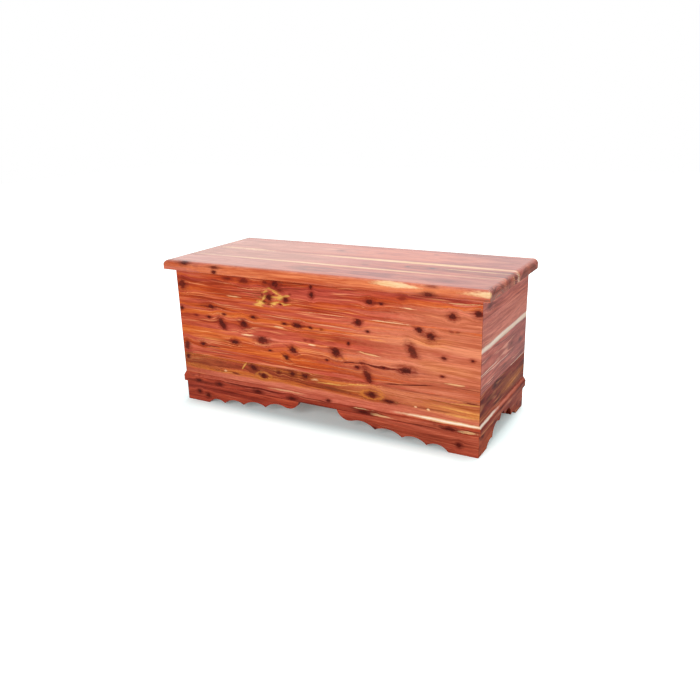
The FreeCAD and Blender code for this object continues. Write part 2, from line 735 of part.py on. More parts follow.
def stay_plate(side, end):
    """A plate on the end wall with a shouldered, headed stud.  Its z points out of the wall."""
    piece = new_body(f"{side}_stay_plate")
    across, along = "plate_width / 2", "plate_height / 2"
    outline = [(f"-{along}", f"-{across}"), (along, f"-{across}"), (along, across),
               (f"-{along}", across)]
    pad(piece, sketch(piece, "plate", "plan", [outline]), "plate_thickness")
    face, collar = "plate_thickness", "plate_thickness + stud_collar"
    head = "arm_inset + arm_thickness / 2 + stud_clearance"
    profile = [("0", "0"), ("stud_collar_radius", "0"), ("stud_collar_radius", collar),
               ("stud_radius", collar), ("stud_radius", head), ("stud_head_radius", head),
               ("stud_head_radius", f"{head} + stud_head"), ("0", f"{head} + stud_head")]
    revolve(piece, sketch(piece, "stud", "front", [profile]))
    for number, sign in enumerate((-1, 1)):
        countersink(piece, f"sink_{number}", f"{sign} * plate_screw_pitch / 2", "0", face,
                    "screw_radius", "screw_head_radius", "plate_thickness")
    place(piece, from_wall(end, "0"), "stud_y", "stud_z", (0, 1, 0), -90 * end)


def stays():
    pair = "plate_screw_length"
    bracket = screw_profile("screw_radius", "screw_head_radius", "ear_thickness", pair)
    plate = screw_profile("screw_radius", "screw_head_radius", "plate_thickness", pair)
    for side, end in ENDS.items():
        stay_arm(side, end)
        stay_bracket(side, end)
        stay_rivet(side, end)
        stay_plate(side, end)
        piece = screws(f"{side}_stay_plate_screws", plate, [("-plate_screw_pitch / 2", "0")],
                       "plate_screw_pitch", 2)
        place(piece, from_wall(end, "plate_thickness"), "stud_y", "stud_z", (0, 1, 0), -90 * end)
    ear = from_wall(1, "bracket_screw_from_ear")
    rows = [(f"{sign} * ({ear})", "-bracket_screw_pitch / 2") for sign in (-1, 1)]
    piece = screws("stay_bracket_screws", bracket, rows, "bracket_screw_pitch", 2, "Y_Axis")
    place(piece, "0", "pivot_y", "rim_height - ear_thickness", (1, 0, 0), 180)


# ---------------------------------------------------------------------------------------------
# The chest
# ---------------------------------------------------------------------------------------------
walls()
skirt()
base_moulding()
bottom()
glue_blocks()
lid_boards()
cleats()
hinge()
stays()
doc.recompute()

failed = [item.Name for item in doc.Objects if "Invalid" in item.State or "Error" in item.State]
failed += [piece.Label for piece in pieces if piece.Shape.isNull() or not piece.Shape.isValid()]
if failed:
    raise RuntimeError("failed: " + ", ".join(failed))
os.makedirs("parts", exist_ok=True)
for piece in pieces:
    piece.Shape.exportStep(f"parts/{piece.Label}.step")
print(len(pieces), "pieces")
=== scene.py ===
import math
import random

import bmesh
import bpy
from mathutils import Matrix, Vector


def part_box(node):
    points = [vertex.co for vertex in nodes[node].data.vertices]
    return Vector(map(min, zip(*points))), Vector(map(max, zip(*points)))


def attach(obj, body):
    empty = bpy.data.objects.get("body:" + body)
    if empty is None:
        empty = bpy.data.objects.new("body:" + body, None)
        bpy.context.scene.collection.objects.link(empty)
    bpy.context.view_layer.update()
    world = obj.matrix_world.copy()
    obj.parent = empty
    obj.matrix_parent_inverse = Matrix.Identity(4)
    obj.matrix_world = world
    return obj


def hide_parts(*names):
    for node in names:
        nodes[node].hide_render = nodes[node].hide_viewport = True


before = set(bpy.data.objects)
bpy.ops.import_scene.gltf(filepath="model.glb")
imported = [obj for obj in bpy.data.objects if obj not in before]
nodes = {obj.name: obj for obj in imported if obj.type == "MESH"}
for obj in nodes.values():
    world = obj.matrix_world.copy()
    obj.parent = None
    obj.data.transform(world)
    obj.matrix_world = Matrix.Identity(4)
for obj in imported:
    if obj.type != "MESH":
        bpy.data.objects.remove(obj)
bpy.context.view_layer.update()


# ---- The room ---------------------------------------------------------------
# The chest stands on a white studio floor, under a wide cloth lamp hung above
# and behind it, with a second lamp square to its front and a third off its
# right end. The floor burns out to white and keeps a soft shadow, partly cast
# and partly painted.

class Socket:
    """A socket of a shader node, so that a sum on values is written as a sum."""

    def __init__(self, tree, socket=None):
        self.tree = tree
        self.socket = socket

    def node(self, kind, settings, inputs, output=0):
        """Adds a node, its settings first and then its inputs, and gives one of its outputs."""
        made = self.tree.nodes.new(kind)
        for name, value in settings.items():
            if name == "stops":
                stops = made.color_ramp.elements
                while len(stops) < len(value):
                    stops.new(1.0)
                for stop, (place, colour) in zip(stops, value):
                    stop.position = place
                    stop.color = colour
            else:
                setattr(made, name, value)
        for name, value in inputs.items():
            if isinstance(value, Socket):
                self.tree.links.new(value.socket, made.inputs[name])
            else:
                made.inputs[name].default_value = value
        return Socket(self.tree, made.outputs[output] if made.outputs else None)

    def sum(self, operation, *values):
        """A sum on numbers."""
        return self.node("ShaderNodeMath", {"operation": operation}, dict(enumerate(values)))

    def vector_sum(self, operation, *values):
        """A sum on vectors. A length comes out as a number."""
        output = 1 if operation == "LENGTH" else 0
        return self.node("ShaderNodeVectorMath", {"operation": operation}, dict(enumerate(values)), output)

    def parts(self):
        """The three numbers of a vector."""
        split = self.node("ShaderNodeSeparateXYZ", {}, {0: self})
        return [Socket(self.tree, output) for output in split.socket.node.outputs]

    def __add__(self, other):
        return self.sum("ADD", self, other)

    def __radd__(self, other):
        return self.sum("ADD", other, self)

    def __sub__(self, other):
        return self.sum("SUBTRACT", self, other)

    def __rsub__(self, other):
        return self.sum("SUBTRACT", other, self)

    def __mul__(self, other):
        return self.sum("MULTIPLY", self, other)

    def __rmul__(self, other):
        return self.sum("MULTIPLY", other, self)

    def __truediv__(self, other):
        return self.sum("DIVIDE", self, other)

    def __rtruediv__(self, other):
        return self.sum("DIVIDE", other, self)

    def __pow__(self, other):
        return self.sum("POWER", self, other)

    def __rpow__(self, other):
        return self.sum("POWER", other, self)

    def larger(self, other):
        return self.sum("MAXIMUM", self, other)

    def fade(self, start, end, full=1.0):
        """Runs smoothly from 0 at start to its full value at end."""
        inputs = {"Value": self, "From Min": start, "From Max": end, "To Max": full}
        return self.node("ShaderNodeMapRange", {"interpolation_type": "SMOOTHSTEP"}, inputs)

    def between(self, under, over):
        """Lays one colour over another, as far as this mask says."""
        return self.node("ShaderNodeMix", {"data_type": "RGBA"}, {0: self, 6: under, 7: over}, 2)


def paint(red, green, blue):
    """A colour as a paint card gives it, from 0 to 255, for a shader."""
    parts = [value / 255 for value in (red, green, blue)]
    return (*[p / 12.92 if p <= 0.04045 else ((p + 0.055) / 1.055) ** 2.4 for p in parts], 1.0)


def blank(name):
    """A new material with nothing in it yet."""
    material = bpy.data.materials.new(name)
    material.use_nodes = True
    material.node_tree.nodes.clear()
    return material, Socket(material.node_tree)


def rays(tree):
    """Masks of the camera's own rays, and of those that a shiny or a clear thing sends on."""
    looked_at = tree.node("ShaderNodeLightPath", {}, {}, "Is Camera Ray")
    mirrored = tree.node("ShaderNodeLightPath", {}, {}, "Is Glossy Ray")
    looked_through = tree.node("ShaderNodeLightPath", {}, {}, "Is Transmission Ray")
    return looked_at, mirrored.larger(looked_through)


# The camera stands off the chest's right front corner, at about twice its height.
seen_from = Vector((1.1548, -2.0309, 0.9749))
turned, dipped, tipped = math.radians(29.44), math.radians(18.51), math.radians(-1.61)
ahead = Vector((-math.sin(turned) * math.cos(dipped), math.cos(turned) * math.cos(dipped), -math.sin(dipped)))
level = Vector((math.cos(turned), math.sin(turned), 0.0))
upward = level.cross(ahead)
right = level * math.cos(tipped) + upward * math.sin(tipped)
top = upward * math.cos(tipped) - level * math.sin(tipped)
camera_data = bpy.data.cameras.new("camera")
camera_data.lens = 37.22
camera_data.sensor_width = 36.0
camera = bpy.data.objects.new("camera", camera_data)
bpy.context.scene.collection.objects.link(camera)
aim = Matrix((right, top, -ahead)).transposed().to_4x4()
aim.translation = seen_from
camera.matrix_world = aim
bpy.context.scene.camera = camera
bpy.context.scene.view_settings.view_transform = "Standard"

# The floor glows a little to the camera alone: least under the chest, whose
# shadow reaches a hand's breadth past the footprint, and most far off. The dim
# glow near the chest is painted shadow, laid over the shadow the lamps cast.
floor_reach = 9.0
footprint = (0.49, 0.18, 0.0)
hand, far_off = 0.1, 1.2
under_chest, near_chest, far_glow = 0.13, 0.53, 0.52
mirrored_floor = 0.1
floor_mesh = bpy.data.meshes.new("studio_floor")
floor_corners = [(-floor_reach, -floor_reach, 0), (floor_reach, -floor_reach, 0),
                 (floor_reach, floor_reach, 0), (-floor_reach, floor_reach, 0)]
floor_mesh.from_pydata(floor_corners, [], [(0, 1, 2, 3)])
studio_floor = bpy.data.objects.new("studio_floor", floor_mesh)
bpy.context.scene.collection.objects.link(studio_floor)
floor_paint, tree = blank("studio_floor")
looked_at, sent_on = rays(tree)
spot = tree.node("ShaderNodeTexCoord", {}, {}, "Object")
apart = tree.vector_sum("SUBTRACT", tree.vector_sum("ABSOLUTE", spot), footprint)
apart = tree.vector_sum("LENGTH", tree.vector_sum("MAXIMUM", apart, (0.0, 0.0, 0.0)))
bright = apart.fade(0.0, hand, near_chest) + apart.fade(hand, far_off, far_glow) + under_chest
bright = (looked_at * bright).larger(sent_on * mirrored_floor)
glow = tree.node("ShaderNodeEmission", {}, {"Color": (0.87, 1.0, 0.99, 1.0), "Strength": bright})
matt = tree.node("ShaderNodeBsdfDiffuse", {}, {"Color": (0.82, 0.92, 0.925, 1.0)})
lit = tree.node("ShaderNodeAddShader", {}, {0: matt, 1: glow})
tree.node("ShaderNodeOutputMaterial", {}, {"Surface": lit})
floor_mesh.materials.append(floor_paint)

# The world is white to the camera, and to what shines, and sheds a faint light.
faint = 0.08
world = bpy.data.worlds.new("studio")
bpy.context.scene.world = world
world.use_nodes = True
world.node_tree.nodes.clear()
tree = Socket(world.node_tree)
looked_at, sent_on = rays(tree)
white = looked_at.larger(sent_on) * (1.0 - faint) + faint
sky = tree.node("ShaderNodeBackground", {}, {"Color": (1.0, 1.0, 1.0, 1.0), "Strength": white})
tree.node("ShaderNodeOutputWorld", {}, {"Surface": sky})


def lamp(name, place, target, size, power):
    """A square cloth lamp that hangs at a place and faces a target, and leaves no square glare."""
    data = bpy.data.lights.new(name, "AREA")
    data.shape = "SQUARE"
    data.size = size
    data.energy = power
    hung = bpy.data.objects.new(name, data)
    bpy.context.scene.collection.objects.link(hung)
    hung.visible_glossy = False
    hung.location = place
    hung.rotation_euler = (Vector(target) - Vector(place)).to_track_quat("-Z", "Y").to_euler()


lamp("overhead_lamp", place=(0.0, 0.95, 2.3), target=(0.0, -0.1, 0.0), size=2.0, power=53.0)
lamp("front_lamp", place=(0.1, -3.4, 1.5), target=(0.0, 0.0, 0.2), size=1.8, power=86.0)
lamp("end_lamp", place=(3.6, -0.9, 1.3), target=(0.5, 0.0, 0.2), size=1.6, power=44.0)


# ---- Front wall: four boards glued edge to edge -----------------------------
# Knotty aromatic red cedar, planed 19 mm thick, glued up and mitred at the
# corners, then sanded and sprayed with a satin varnish. The bottom board is a
# streaky one, olive and gold over a pink edge.

# A mark this deep, in mm, goes right through any board.
right_through = 9000


def knot(along, across, long, tall, tilt=0, dark=1.0, deep=0, thick=right_through, rim=0.0):
    """A knot's middle, half length, half height and slope, in mm and degrees."""
    return {"at": (along, across, deep), "size": (long, tall, thick), "tilt": tilt, "dark": dark, "rim": rim}


def streak(start, finish, across, tall, kind, tilt=0, full=1.0, torn=1.0, deep=0, thick=right_through):
    """A streak along the grain, in mm and degrees: its kind, how full its colour is, how torn its edge."""
    return {"at": ((start + finish) / 2, across, deep), "size": ((finish - start) / 2, tall, thick),
            "tilt": tilt, "kind": kind, "full": full, "torn": torn}


# Each kind of streak, as it is where the wood is dark and where it is light.
# They are laid on in this order, so that pale sapwood lies over the rest.
# The dusk kind serves only as painted shade; some dark, pink, warm and cream streaks are painted shade,
# highlight, light or sheen.
streak_paints = {"dusk": ((112, 40, 26), (172, 80, 58)), "warm": ((192, 98, 66), (236, 150, 114)),
                 "pink": ((190, 88, 64), (232, 134, 108)), "amber": ((190, 78, 40), (238, 138, 86)),
                 "olive": ((112, 44, 20), (168, 92, 46)), "gold": ((186, 94, 42), (236, 154, 80)),
                 "dark": ((84, 18, 8), (112, 34, 18)), "straw": ((214, 148, 66), (248, 200, 104)),
                 "sap": ((232, 176, 120), (254, 218, 170)), "cream": ((248, 210, 182), (255, 242, 226))}
heart_red, heart_black = (124, 30, 14), (64, 8, 2)


def cedar(name, seed, grain, pith, knots, streaks, tones, shine):
    """Red cedar whose rings turn round a pith and swerve round the knots.

    The grain runs along X, Y or Z, or along an upright board that faces front (XZ) or an end (YZ).
    """
    material, tree = blank(name)
    place = tree.node("ShaderNodeTexCoord", {}, {}, "Object")
    turn = {"X": (0, 0, 0), "Y": (0, 0, 90), "XZ": (90, 0, 0), "YZ": (90, 0, 90), "Z": (0, 90, 0)}[grain]
    turn = tuple(math.radians(angle) for angle in turn)
    as_placed = {"vector_type": "TEXTURE"}
    in_mm = {"Vector": place, "Rotation": turn, "Scale": (0.001,) * 3}
    board = tree.node("ShaderNodeMapping", as_placed, in_mm)
    along, across, deep = board.parts()

    def grain_noise(point, long, wide, step, detail, rough=0.55):
        """Noise in patches so many mm long and wide, with its own shift for each board and use."""
        shift = (seed * 3.7 + step, seed * 1.9 - step, seed * 5.3 + step)
        scale = (1 / long, 1 / wide, 1 / wide)
        spread = tree.node("ShaderNodeMapping", {}, {"Vector": point, "Location": shift, "Scale": scale})
        settings = {"Vector": spread, "Scale": 1.0, "Detail": detail, "Roughness": rough}
        return tree.node("ShaderNodeTexNoise", {}, settings)

    def seated(mark, point):
        """The point as it lies from a mark's middle, counted in the mark's own half sizes."""
        inputs = {"Vector": point, "Location": mark["at"], "Scale": mark["size"]}
        inputs["Rotation"] = (0, 0, math.radians(mark["tilt"]))
        return tree.node("ShaderNodeMapping", as_placed, inputs)

    def stretched(point, share):
        """How far the point lies from the middle, with each direction scaled by its own share."""
        return tree.vector_sum("LENGTH", tree.vector_sum("MULTIPLY", point, share))

    ragged = grain_noise(board, 13, 6, 1.0, 2.0, 0.65) - 0.5
    sway = (grain_noise(board, 360, 90, 2.0, 1.0) - 0.5) * 26
    wave = (grain_noise(board, 80, 22, 3.0, 1.0) - 0.5) * 6

    # Each knot has a dark core and a reddish halo. It may have a pale rim, long
    # ones trail off along the grain, and all of them push the grain aside.
    core = halo = rim = trail = push = 0.0
    torn_edge = ragged * 1.9
    for each in knots:
        inside = seated(each, board)
        reach = tree.vector_sum("LENGTH", inside) + torn_edge
        push = reach.fade(3.4, 0.3, min(1.0, 11 / each["size"][1])) * (across - each["at"][1]) + push
        if each["dark"]:
            core = reach.fade(1.18, 0.6, each["dark"]).larger(core)
            halo = reach.fade(2.2, 0.8, each["dark"]).larger(halo)
            if each["rim"]:
                eye = stretched(inside, (0.55, 1.0, 1.0)) + ragged
                rim = (eye.fade(1.75, 1.35, each["rim"]) * eye.fade(0.95, 1.3)).larger(rim)
            if each["size"][0] > each["size"][1]:
                drawn = stretched(inside, (0.28, 2.6, 1.0)) + ragged
                trail = drawn.fade(1.25, 0.3, each["dark"]).larger(trail)

    # The growth rings, about 3 mm apart, each with a hard line of summer wood.
    # On sawn ends they show darker.
    ring_gap = 3.1
    height = across + sway + wave - push * 0.7
    ring = ((height - pith[0]) ** 2 + (deep - pith[1]) ** 2) ** 0.5
    rings = tree.node("ShaderNodeCombineXYZ", {}, {0: along, 1: ring, 2: deep * 0.05})
    broad = grain_noise(rings, 520, 20, 4.0, 1.0) - 0.5
    fine = grain_noise(rings, 130, 4.5, 5.0, 2.0, 0.6) - 0.5
    fibre = grain_noise(rings, 26, 1.6, 6.0, 3.0, 0.7) + grain_noise(board, 40, 1.8, 6.5, 2.0, 0.7)
    fibre = fibre * 0.6 - 0.6
    light_line = grain_noise(rings, 150, 2.8, 8.0, 1.0).fade(0.59, 0.74, tones["lines"])
    dark_line = grain_noise(rings, 140, 2.6, 9.0, 1.0).fade(0.39, 0.25, tones["lines"])
    summer = tree.sum("FRACT", ring / ring_gap + broad * 6) ** 3
    facing = tree.node("ShaderNodeTexCoord", {}, {}, "Normal")
    facing = tree.node("ShaderNodeMapping", as_placed, {"Vector": facing, "Rotation": turn})
    end_grain = tree.sum("ABSOLUTE", facing.parts()[0]).fade(0.6, 0.95)
    tone = broad * 1.2 + fine * 1.3 + fibre * 0.75 + 0.52 - summer * 0.1 - end_grain * (summer * 0.7 + 0.1)

    # The wood's own colour runs from deep to bright with its tone, in patches of
    # a rosier hue, with fine pale and dark lines over it.
    rosy_patch = grain_noise(rings, 420, 17, 7.0, 1.0).fade(0.4, 0.64)
    stops = [(0.05, paint(*tones["deep"])), (0.5, paint(*tones["base"])), (0.95, paint(*tones["bright"]))]
    hue = tree.node("ShaderNodeValToRGB", {"stops": stops}, {0: tone})
    stops = [(0.05, paint(*tones["rose_deep"])), (0.95, paint(*tones["rose"]))]
    rosy = tree.node("ShaderNodeValToRGB", {"stops": stops}, {0: tone})
    colour = (rosy_patch * 0.6).between(hue, rosy)
    colour = light_line.between(colour, paint(*tones["thin"]))
    colour = dark_line.between(colour, paint(*tones["halo"]))

    # Streaks drift with the grain, and their edges tear along the fine figure.
    drift = tree.node("ShaderNodeCombineXYZ", {}, {0: along, 1: across + wave * 0.9 - push * 0.4, 2: deep})
    tear = fine * 2.4 + ragged
    for kind, (shaded, full_tone) in streak_paints.items():
        mask = 0.0
        for each in streaks:
            if each["kind"] == kind:
                reach = tree.vector_sum("LENGTH", seated(each, drift))
                mask = (tear * each["torn"] + reach).fade(1.2, 0.4, each["full"]).larger(mask)
        if mask != 0.0:
            tinted = tone.fade(0.1, 0.9).between(paint(*shaded), paint(*full_tone))
            colour = (mask * 0.92).between(colour, tinted)

    if trail != 0.0:
        colour = (trail * 0.5).between(colour, paint(*tones["halo"]))
    if halo != 0.0:
        colour = (halo * 0.6).between(colour, paint(*tones["halo"]))
    if rim != 0.0:
        colour = rim.between(colour, paint(*tones["rim"]))
    if core != 0.0:
        heart = (core * 0.5 + ragged).fade(0.1, 0.6).between(paint(*heart_red), paint(*heart_black))
        colour = (core * 0.92).between(colour, heart)

    # The finish: grain just felt under it, and where there is a coat it is
    # rubbed up on the flat top and left thin on the upright faces.
    bump = tree.node("ShaderNodeBump", {}, {"Strength": 0.15, "Distance": 0.0004,
                                            "Height": tone * 0.5 - summer * 0.2})
    coat, thin_coat = shine["coat"], 0.08
    if coat:
        upright = tree.node("ShaderNodeTexCoord", {}, {}, "Normal").parts()[2]
        coat = upright.fade(0.5, 0.97, coat - thin_coat) + thin_coat
    inputs = {"Base Color": colour, "Normal": bump, "Roughness": shine["rough"] - tone * 0.08, "IOR": 1.45,
              "Specular IOR Level": shine["level"], "Coat Weight": coat, "Coat IOR": 1.5,
              "Coat Roughness": shine["coat_rough"]}
    skin = tree.node("ShaderNodeBsdfPrincipled", {}, inputs)
    tree.node("ShaderNodeOutputMaterial", {}, {"Surface": skin})
    return material


def corners(name):
    """The lowest and highest corner that the frame gives a piece, in mm."""
    return [[round(value * 1000, 3) for value in corner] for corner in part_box(name)]


def loft(rings):
    """A closed solid whose skin runs from ring to ring, each ring the same count of points, in mm."""
    solid = bmesh.new()
    rows = [[solid.verts.new(Vector(point) / 1000) for point in ring] for ring in rings]
    for low, high in zip(rows, rows[1:]):
        for step in range(len(low)):
            after = (step + 1) % len(low)
            solid.faces.new((low[step], low[after], high[after], high[step]))
    solid.faces.new(rows[0])
    solid.faces.new(rows[-1])
    bmesh.ops.recalc_face_normals(solid, faces=solid.faces)
    return solid


def piece(name, solid, material, body, replaced, sharp=35):
    """Makes an object of a solid, shades its flats flat and its rounds round, and fixes it to its body."""
    mesh = bpy.data.meshes.new(name)
    solid.to_mesh(mesh)
    solid.free()
    mesh.shade_smooth()
    mesh.set_sharp_from_angle(angle=math.radians(sharp))
    made = bpy.data.objects.new(name, mesh)
    bpy.context.scene.collection.objects.link(made)
    weighted = made.modifiers.new("flats", "WEIGHTED_NORMAL")
    weighted.keep_sharp = True
    made.data = bpy.data.meshes.new_from_object(made.evaluated_get(bpy.context.evaluated_depsgraph_get()))
    made.modifiers.clear()
    made.data.materials.clear()
    made.data.materials.append(material)
    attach(made, body)
    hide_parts(replaced)


# The case's four outer faces, and how far each side runs from its middle.
front_board, back_board = corners("front_wall_top_board"), corners("back_wall_top_board")
rim_height = front_board[1][2]
board_thickness = round(front_board[1][1] - front_board[0][1], 3)
outer = {"left": front_board[0][0], "right": front_board[1][0], "front": front_board[0][1],
         "back": back_board[1][1]}
mid_depth = round((outer["front"] + outer["back"]) / 2, 3)
half_run = {"front": outer["right"], "back": outer["right"], "left": outer["back"] - mid_depth,
            "right": outer["back"] - mid_depth}


def on_side(side, along, inward, height):
    """A point of one side of the case, from its middle, its outer face and the floor."""
    if side in ("front", "back"):
        return (along, outer[side] + (inward if side == "front" else -inward), height)
    return (outer[side] + (inward if side == "left" else -inward), mid_depth + along, height)


def mitred(side, levels, inner=board_thickness, arris=1.8):
    """A board mitred at both ends, its outer corners eased to a small round."""
    rings = []
    for height, outward in levels:
        end = half_run[side] - outward - arris
        plan = [(half_run[side] - inner, inner)]
        for step in range(4):
            angle = math.radians(45 + 15 * step)
            plan.append((end + arris * math.cos(angle), outward + arris - arris * math.sin(angle)))
        plan = plan + [(-along, inward) for along, inward in reversed(plan)]
        rings.append([on_side(side, along, inward, height) for along, inward in plan])
    return loft(rings)


def wall_board(name, material):
    """One board of a wall. The topmost has its rim eased where the lid comes down on it."""
    low, high = (corner[2] for corner in corners(name))
    levels = [(low, 0.0), (high, 0.0)]
    if high == rim_height:
        levels = [(low, 0.0), (high - 1.2, 0.0), (high - 0.35, 0.35), (high, 1.2)]
    board = mitred(name.split("_")[0], levels)
    piece(name + "_planed", board, material, "case", name)


# A cedar's tones run from deep to bright, and are rosier in patches. It has thin
# pale lines, knots with a halo, and fine lines that are plain or faint.
orange_cedar = {"deep": (148, 48, 16), "base": (199, 82, 32), "bright": (230, 124, 56),
                "thin": (244, 162, 108), "rose_deep": (156, 50, 42), "rose": (222, 106, 92),
                "halo": (122, 32, 18), "lines": 0.65}
russet_cedar = {**orange_cedar, "deep": (128, 38, 14), "base": (186, 69, 27), "bright": (222, 113, 50)}
satin = {"rough": 0.42, "level": 0.14, "coat": 0.0, "coat_rough": 0.2}

top_knots = [
    knot(-521, 422, 18, 15, dark=0.9), knot(-324, 457, 17, 6, dark=0.7), knot(-259, 455, 19, 9, dark=0.8),
    knot(-138, 455, 16, 11), knot(-165, 411, 12, 12), knot(-100, 408, 10, 9), knot(-5, 458, 6, 7),
    knot(-4, 434, 9, 10), knot(196, 433, 13, 9), knot(235, 431, 8, 4), knot(302, 454, 12, 7, dark=0.55),
    knot(456, 418, 13, 10), knot(532, 433, 14, 11), knot(-175, 458, 12, 6, dark=0.8),
    knot(-121, 438, 11, 5, tilt=-20, dark=0.7), knot(-183, 395, 6, 3.5, dark=0.8),
    knot(-165, 388, 8, 2.5, dark=0.7), knot(-121, 392, 5, 3), knot(-83, 428, 5, 3, dark=0.6),
    knot(-146, 421, 6, 2.5, dark=0.8), knot(-190, 417, 4, 4, dark=0.7)]
top_streaks = [
    streak(-210, -90, 450, 9, "dark", full=0.5, torn=2.0),
    # The dark line along the board just under the lid's edge is painted shadow of the lid.
    streak(-620, 580, 471.5, 3.2, "dark", full=0.7, torn=0.8),
    # The broad warm streak over the right part of this board is painted light: the front is painted lighter
    # and warmer to the right.
    streak(200, 900, 405, 40, "warm", full=0.75, torn=0.6), streak(-330, -280, 399, 1.8, "sap", full=0.8),
    streak(-307, -205, 430, 1.8, "sap", full=0.6), streak(290, 350, 426, 2, "sap"),
    streak(430, 550, 456, 2, "sap", full=0.6), streak(440, 541, 451, 2, "pink"),
    streak(-30, 140, 376, 3.2, "sap", full=0.8, torn=0.8), streak(180, 345, 376, 3.6, "sap", torn=0.8),
    streak(194, 262, 433, 3, "dark"), streak(57, 174, 449, 1.8, "pink"),
    streak(-225, -140, 402, 22, "dark", full=0.5, torn=3.0),
    streak(-224, -84, 408, 26, "gold", full=0.4, torn=2.4),
    streak(-222, -180, 388, 12, "straw", tilt=20, torn=1.9),
    streak(-202, -168, 405, 5, "straw", tilt=50, torn=1.3),
    streak(-190, -160, 428, 6, "straw", tilt=25, torn=1.6),
    streak(-164, -118, 431, 7, "straw", tilt=-18, torn=1.7),
    streak(-150, -106, 413, 12, "straw", torn=2.2), streak(-164, -128, 390, 9, "straw", tilt=8, torn=1.8),
    streak(-128, -84, 395, 3.5, "straw", tilt=3, torn=1.2),
    streak(-120, -80, 418, 4, "straw", tilt=12, torn=1.3), streak(-420, -300, 448, 4, "dark", full=0.5),
    streak(60, 190, 462, 4, "dark", full=0.5)]
wall_board("front_wall_top_board",
           cedar("front_top_cedar", 1, "XZ", (505, 150), top_knots, top_streaks, russet_cedar, satin))

upper_knots = [
    knot(-404, 355, 14, 7), knot(-351, 334, 8, 3.5), knot(-416, 318, 10, 5),
    knot(-470, 317, 8, 3, dark=0.7), knot(-231, 337, 11, 6), knot(-533, 337, 8, 7),
    knot(-361, 299, 12, 22, tilt=28), knot(-272, 310, 15, 13, tilt=-20), knot(-111, 330, 9, 5),
    knot(-62, 330, 17, 9), knot(-12, 328, 8, 4), knot(28, 327, 6, 3, dark=0.6), knot(122, 295, 6, 6),
    knot(-9, 285, 6, 4, dark=0.5), knot(-34, 285, 6, 4, dark=0.5), knot(157, 367, 12, 11, tilt=20),
    knot(189, 341, 7, 4), knot(356, 367, 13, 10, tilt=-20), knot(392, 352, 14, 12),
    knot(335, 298, 13, 25, tilt=32, dark=0.9), knot(433, 292, 8, 5), knot(518, 296, 7, 4),
    knot(454, 373, 7, 4, dark=0.5), knot(472, 373, 7, 4, dark=0.5)]
upper_streaks = [
    streak(-160, -112, 315, 2, "sap"), streak(-198, -40, 348, 1.8, "sap", tilt=-2, full=0.5, torn=0.5),
    streak(-40, 159, 342, 1.8, "sap", tilt=-1.5, full=0.5, torn=0.5),
    streak(320, 440, 329, 9, "gold", full=0.45), streak(180, 262, 318, 2.4, "gold", full=0.7),
    # The broad warm streak over the right part of this board is painted light.
    streak(120, 800, 325, 70, "warm", full=0.85, torn=0.6), streak(-470, -340, 354, 2.4, "dark"),
    streak(330, 480, 341, 9, "gold", tilt=-3, full=0.45), streak(-60, 90, 300, 8, "gold", full=0.3),
    streak(-130, 40, 329, 2.4, "dark", full=0.7), streak(380, 560, 300, 5, "pink", full=0.6)]
wall_board("front_wall_upper_board",
           cedar("front_upper_cedar", 2, "XZ", (250, 155), upper_knots, upper_streaks, orange_cedar, satin))

lower_knots = [
    knot(-200, 264, 21, 13, dark=0.95), knot(-314, 242, 17, 8), knot(-82, 245, 14, 11, tilt=-25),
    knot(-110, 217, 11, 8, tilt=-30), knot(-172, 231, 8, 3.5), knot(-453, 217, 11, 7),
    knot(-525, 203, 13, 17, dark=0.9), knot(76, 261, 17, 15, tilt=-35), knot(43, 230, 6, 4),
    knot(150, 222, 9, 5), knot(314, 235, 25, 11), knot(240, 234, 7, 4),
    knot(188, 197, 11, 30, tilt=24, dark=0.95), knot(429, 235, 7, 3.5)]
lower_streaks = [
    # The two warm streaks over the right part of this board are painted light.
    streak(40, 900, 245, 70, "warm", full=0.85, torn=0.6),
    streak(160, 700, 188, 16, "warm", full=0.8, torn=0.8),
    streak(320, 560, 256, 18, "gold", tilt=-2, full=0.35, torn=0.8),
    streak(430, 560, 208, 1.8, "dark", tilt=-2, full=0.8),
    streak(-470, -340, 241, 5, "gold", full=0.7, torn=1.3), streak(-282, -240, 273, 2.2, "sap"),
    streak(-28, 6, 272, 2.4, "sap"), streak(165, 242, 269, 2, "sap", tilt=-3),
    streak(438, 498, 217, 2.6, "sap"), streak(497, 511, 215, 5, "pink"),
    streak(-543, 20, 178, 2.5, "pink"), streak(52, 140, 189, 2.4, "pink"),
    streak(98, 300, 234, 3, "dark"), streak(-454, -370, 214, 2.5, "dark"),
    streak(221, 420, 193, 2.6, "dark", tilt=7, torn=0.6), streak(380, 560, 210, 9, "dark", full=0.25),
    streak(-240, -20, 270, 3, "pink", full=0.7)]
wall_board("front_wall_lower_board",
           cedar("front_lower_cedar", 3, "XZ", (310, 150), lower_knots, lower_streaks, orange_cedar, satin))

